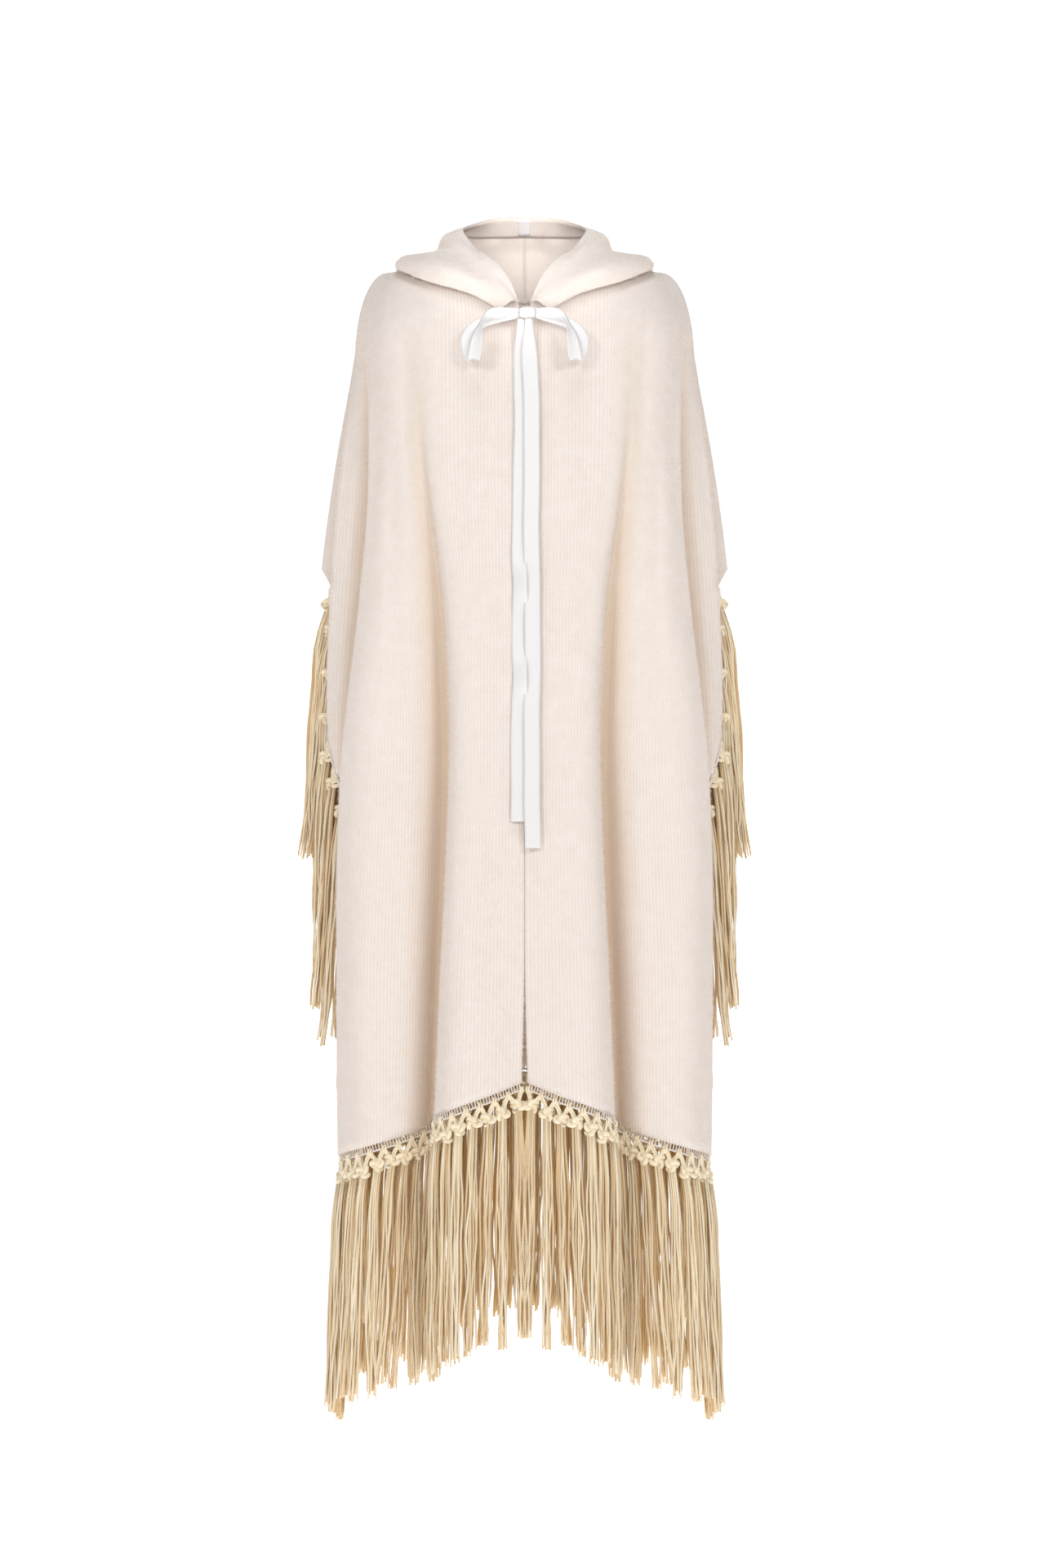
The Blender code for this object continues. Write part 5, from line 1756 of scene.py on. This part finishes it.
@dataclass
class SideFringe:
    """The fringe on a cloth's open side edge: a cord sewn along it, and tassels that fan out as they fall."""

    side: Side
    finishes: Finishes
    # The locks: the height of each, how far its knot stands out in x and toward the other cloth in y, and its
    # end's lean in the same two ways
    roots: tuple = (
        (-396.0, 3, 5, 31, -2),
        (-428.0, 3, 5, 25, -1),
        (-480.0, 4, 5, 13, -4),
        (-534.0, 5, 5, 2, -9),
        (-582.0, 5, 3, 13, -7),
        (-614.0, 5, 5, 14, -8),
        (-648.0, 5, 5, 13, -14),
        (-712.0, 1, 8, 10, 24),
        (-810.0, 1, 8, -12, 24),
        (-908.0, 1, 8, 10, 24),
        (-1006.0, 1, 8, -12, 24),
    )
    upper_locks: int = 7
    lock_sizes: tuple = (0.95, 0.85)
    knot_below: float = 10.0
    cord_out: float = 3.6
    cord_radius: float = 1.6
    # How far above and below its lock a bunch starts, and how much higher all three do
    leg_reach: float = 8.0
    leg_rise: float = 3.0
    leg_overlap: float = 1.5
    bar_pitch: float = 3.8
    bar_radius: float = 0.7
    # Where a bar starts inside the cloth, as a share of its length outside it, and how far it slants down
    bar_start: float = -0.4
    bar_fall: float = 1.4
    seeds: tuple = ((FRONT, 37), (BACK, 53))

    def edge(self) -> tuple[Array, Array]:
        """Follows the open edge down.

        Returns:
            Its points, and the direction out from the cloth at each.
        """
        form = FORMS[self.side]
        rows = np.linspace(row_of_height(SIDE_EDGE[1][0]), 2.0, 260)
        last = form.last_rail(rows)
        points = form.points(rows, last)
        inward = form.points(rows, last - 0.15) - points
        normals = form.normals(rows, last)
        points = points - normals * CLOTH_THICK / 2
        out = np.cross(np.gradient(points, axis=0), normals)
        out *= -np.sign(np.sum(out * inward, axis=-1, keepdims=True))
        return points, unit(out)

    def make(self) -> None:
        """Builds the cord, its stitches, and the tassels."""
        points, out = self.edge()
        cord, depths = points + out * self.cord_out, -points[:, 2]
        toward = 1.0 if self.side is FRONT else -1.0
        z, knot_x, knot_y, lean_x, lean_y = np.array(self.roots).T
        offsets = np.stack([knot_x, toward * knot_y, np.full(len(z), -self.knot_below)], axis=-1)
        knots = read_along(-z, depths, cord) + offsets
        maker = TasselMaker(dict(self.seeds)[self.side])
        across = np.tile((1.0, 0.0, 0.0), (len(z), 1))
        facing = np.tile((0.0, -toward, 0.0), (len(z), 1))
        sizes = np.where(np.arange(len(z)) < self.upper_locks, *self.lock_sizes)
        for reach in (-self.leg_reach, 0.0, self.leg_reach):
            starts = read_along(np.minimum(-z - reach - self.leg_rise, depths[-1]), depths, cord)
            maker.legs(starts, knots + UP * self.leg_overlap, facing, sizes)
        maker.knots(knots, across, facing, sizes)
        maker.tassels(knots, across, facing, np.stack([lean_x, toward * lean_y], axis=-1), sizes)
        self.fringes = maker.parts.build_pair(f"fringe_{self.side.value}_side", self.finishes.yarn)
        self.make_edge_stitches(points, out)

    def make_edge_stitches(self, points: Array, out: Array) -> None:
        """Builds the cord along the edge and the short bars that sew it on.

        Args:
            points: the edge's points, from the top down.
            out: the direction out from the cloth at each.
        """
        along = run_length(points)
        places = np.arange(self.bar_pitch, along[-1] - 4, self.bar_pitch)
        base, way = (read_along(places, along, values) for values in (points, out))
        share = np.linspace(self.bar_start, 1, 4)
        path = base[:, None] + way[:, None] * (self.cord_out * share)[None, :, None]
        path = path - UP * (self.bar_fall * share)[None, :, None]
        parts = MeshParts()
        tubes(parts, path, np.full(path.shape[:2], self.bar_radius), 4, (0.0, 0.6, 0.8))
        cord = (points + out * self.cord_out)[:-4:2]
        tubes(parts, cord[None], np.full((1, len(cord)), self.cord_radius), 7)
        self.edges = parts.build_pair(f"edge_stitches_{self.side.value}", self.finishes.knit)

    def dress(self) -> None:
        """Says what each piece stands for."""
        for hand, fringe, stitches in zip(("left", "right"), self.fringes, self.edges):
            stand_for(fringe, f"fringe_side_{self.side.value}_{hand}")
            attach(stitches, BODY)


@dataclass
class Haze:
    """The short loose fibres that stand off the brushed cloth."""

    finishes: Finishes
    # The shortest and the longest fibre, on the cloth and on the slit's edge
    length: tuple = (2.4, 6.2)
    edge_reach: tuple = (1.5, 4.2)
    width: float = 0.34
    # How thickly they stand, and how much more so where the cloth faces the side
    on_front: float = 0.6
    on_side: float = 2.4
    # How the nap falls, how far the fibres lean with it, and how deep their roots are
    nap_fall: float = -0.7
    leans: tuple = (0.3, 1.5)
    root_depth: float = 0.2
    # The slit's fibres: their way, how far they stray from it, and the row where they start
    edge_way: tuple = (-1.0, -0.1, -0.3)
    edge_spread: float = 0.55
    edge_first_row: int = 4
    seed: int = 5

    def grow(self, name: str, skin: tuple[Array, Array], count: int) -> None:
        """Scatters fibres over a cloth's outer face.

        Args:
            name: the first part of the two pieces' names.
            skin: the face's points and outward directions, [row][column].
            count: how many fibres one half gets.
        """
        chance = np.random.default_rng(self.seed + count)
        points, normals = skin
        first, right, below = points[:-1, :-1], points[:-1, 1:], points[1:, :-1]
        area = np.linalg.norm(np.cross(right - first, below - first), axis=-1).ravel()
        area = area * (self.on_front + self.on_side * normals[:-1, :-1, 0].ravel() ** 2)
        cells = chance.choice(len(area), size=count, p=area / area.sum())
        i, j = np.divmod(cells, points.shape[1] - 1)
        u, v = chance.uniform(0, 1, (2, count, 1))

        def blend(values: Array) -> Array:
            """The face's values at the fibres' roots."""
            upper = values[i, j] * (1 - u) + values[i, j + 1] * u
            return upper * (1 - v) + (values[i + 1, j] * (1 - u) + values[i + 1, j + 1] * u) * v

        root, up = blend(points), unit(blend(normals))
        drift = unit(chance.normal(0, 1, (count, 3)) + UP * self.nap_fall)
        lean = chance.uniform(*self.leans, (count, 1))
        self.plant(name, root - up * self.root_depth, unit(up + drift * lean), self.length, chance)

    def grow_on_edge(self, name: str, skin: tuple[Array, Array], count: int) -> None:
        """Sets fibres along the front edges, where they bridge the slit between the two fronts.

        Args:
            name: the first part of the two pieces' names.
            skin: the front's points and outward directions, [row][column].
            count: how many fibres one half gets.
        """
        line = skin[0][self.edge_first_row :, 0]
        chance = np.random.default_rng(self.seed)
        root = read_along(chance.uniform(0, len(line) - 1, count), np.arange(len(line)), line)
        root[:, 1] += chance.uniform(0, CLOTH_THICK, count)
        ways = unit(np.array(self.edge_way) + chance.normal(0, self.edge_spread, (count, 3)))
        self.plant(name, root, ways, self.edge_reach, chance)

    def plant(
        self, name: str, base: Array, ways: Array, lengths: tuple, chance: np.random.Generator
    ) -> None:
        """Builds fibres as slivers with a point.

        Args:
            name: the first part of the two pieces' names.
            base: where each fibre starts.
            ways: the direction of each.
            lengths: the shortest and the longest.
            chance: the run of random numbers.
        """
        count = len(base)
        long = chance.uniform(*lengths, (count, 1)) * chance.uniform(0.5, 1.0, (count, 1))
        half = unit(np.cross(ways, chance.normal(0, 1, (count, 3)))) * self.width / 2
        at = np.arange(count * 3).reshape(count, 3)
        parts = MeshParts()
        parts.add(np.stack([base - half, base + half, base + ways * long], axis=1), None, at)
        for piece in parts.build_pair(name, self.finishes.fibre):
            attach(piece, BODY)


@dataclass(frozen=True)
class StudioPaper:
    """Seamless background paper: matt white, lit until it has no tone of its own."""

    name: str = "studio_paper"
    colour: str = "#fbfbfb"
    tooth_mm: float = 2.5
    own_light: float = 0.8

    def material(self) -> Material:
        """Builds the paper with the faint tooth of its surface.

        Returns:
            The material.
        """
        nodes = NodeTree(self.name)
        place = nodes.add("TexCoord").outputs["Object"]
        tooth = nodes.add("TexNoise", {"Vector": place, "Scale": 1000 / self.tooth_mm})
        return nodes.finish(
            Base_Color=linear_from_hex(self.colour),
            Normal=nodes.add("Bump", {"Strength": 0.02, "Distance": 0.0003, "Height": tooth}),
            Roughness=0.95,
            Specular_IOR_Level=0.0,
            Emission_Color=(1.0, 1.0, 1.0, 1.0),
            Emission_Strength=self.own_light,
        )


@dataclass
class Studio:
    """A white paper sweep, soft even light, and a level camera in front."""

    camera_back: float = 4.1
    centre_x: float = -0.0025
    centre_z: float = -0.625
    picture_height: float = 1.92
    sensor: float = 36.0
    floor_z: float = -2.2
    world: float = 0.18
    # The soft lights: where each is, and its power. The one overhead is a little cooler.
    soft_lights: tuple = (
        (-2.0, -3.4, 1.2, 36.0),
        (2.0, -3.4, 1.2, 36.0),
        (0.0, -3.8, 0.8, 13.0),
        (0.0, -0.8, 2.3, 20.0),
        (0.0, 0.0, -2.05, 1.4),
    )
    light_size: float = 1.0
    overhead_z: float = 2.0
    overhead_colour: tuple = (0.88, 0.96, 1.0)
    # A narrow light into the open hood: where it is and aims, its power, cone in degrees and size
    hood_light_place: tuple = (0.0, -3.9, -0.33)
    hood_light_aim: tuple = (0.0, 0.12, 0.058)
    hood_light_power: float = 820.0
    hood_light_cone: float = 2.8
    hood_light_radius: float = 0.1
    # The paper: its front end, where it starts to rise, the radius of its bend, its height and half its width
    sweep_front: float = -8.0
    sweep_back: float = 7.5
    sweep_bend: float = 1.2
    sweep_high: float = 8.0
    sweep_half: float = 16.0

    def make(self) -> None:
        """Builds the sweep, the lights and the camera."""
        self.make_sweep()
        self.make_world()
        for k, (x, y, z, power) in enumerate(self.soft_lights):
            lamp = bpy.data.lights.new(f"softbox_{k}", "AREA")
            lamp.energy, lamp.size = power, self.light_size
            lamp.color = self.overhead_colour if z > self.overhead_z else (1.0, 1.0, 1.0)
            self.place_light(lamp, (x, y, z), (0.0, 0.0, self.centre_z))
        spot = bpy.data.lights.new("hood_light", "SPOT")
        spot.energy, spot.shadow_soft_size = self.hood_light_power, self.hood_light_radius
        spot.spot_size, spot.spot_blend = math.radians(self.hood_light_cone), 1.0
        self.place_light(spot, self.hood_light_place, self.hood_light_aim)
        lens = bpy.data.cameras.new("camera")
        lens.sensor_width = self.sensor
        lens.lens = self.sensor * self.camera_back / self.picture_height
        camera = bpy.data.objects.new("camera", lens)
        camera.location = (self.centre_x, -self.camera_back, self.centre_z)
        camera.rotation_euler = (math.radians(90), 0, 0)
        bpy.context.scene.collection.objects.link(camera)
        bpy.context.scene.camera = camera
        bpy.context.scene.view_settings.view_transform = "Standard"

    def place_light(self, lamp: bpy.types.Light, place: tuple, target: tuple) -> None:
        """Puts a light at a place and turns it to its target.

        Args:
            lamp: the light, whose name its object takes.
            place: where it stands, in metres.
            target: the point that it shines at.
        """
        holder = bpy.data.objects.new(lamp.name, lamp)
        holder.location = place
        aim = Vector(target) - holder.location
        holder.rotation_euler = aim.to_track_quat("-Z", "Y").to_euler()
        bpy.context.scene.collection.objects.link(holder)

    def make_sweep(self) -> None:
        """Builds the floor that curves up into the wall behind."""
        turn = np.linspace(0, np.pi / 2, 13)
        bend, floor = self.sweep_bend, self.floor_z
        profile = [(self.sweep_front, floor)]
        profile += [(self.sweep_back + bend * math.sin(t), floor + bend * (1 - math.cos(t))) for t in turn]
        profile.append((self.sweep_back + bend, floor + self.sweep_high))
        line = np.array(profile) / MM
        columns = np.linspace(-self.sweep_half, self.sweep_half, 5) / MM
        grid = np.array([[(x, y, z) for x in columns] for y, z in line])
        parts = MeshParts()
        parts.add(grid, grid_quads(len(line), len(columns))[:, ::-1])
        sweep = parts.build("paper_sweep", StudioPaper().material())

    def make_world(self) -> None:
        """Sets the even white light from all round."""
        world = bpy.data.worlds.new("studio_light")
        world.use_nodes = True
        background = world.node_tree.nodes["Background"]
        background.inputs["Color"].default_value = (1.0, 1.0, 1.0, 1.0)
        background.inputs["Strength"].default_value = self.world
        bpy.context.scene.world = world


def main() -> None:
    """Builds the poncho around its frame."""
    logging.basicConfig(level=logging.INFO, format="%(message)s")
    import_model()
    Studio().make()
    finishes = Finishes(
        knit=BrushedRibKnit().material(),
        satin=SatinRibbon().material(),
        yarn=FringeYarn().material(),
        fibre=FibreHaze().material(),
    )
    front, back, hood = KnitPanel(FRONT, finishes), KnitPanel(BACK, finishes), Hood(finishes)
    sub_assemblies = [hood, front, back, RibbonBow(finishes)]
    sub_assemblies += [HemFringe(side, finishes) for side in Side]
    sub_assemblies += [SideFringe(side, finishes) for side in Side]
    for assembly in sub_assemblies:
        assembly.make()
        assembly.dress()
        log.info("built %s", type(assembly).__name__)
    haze = Haze(finishes)
    haze.grow("haze_front", front.skin, count=56000)
    haze.grow("haze_hood", hood.skin, count=26000)
    haze.grow("haze_back", back.skin, count=40000)
    haze.grow_on_edge("haze_slit", front.skin, count=5000)


if __name__ == "__main__":
    main()
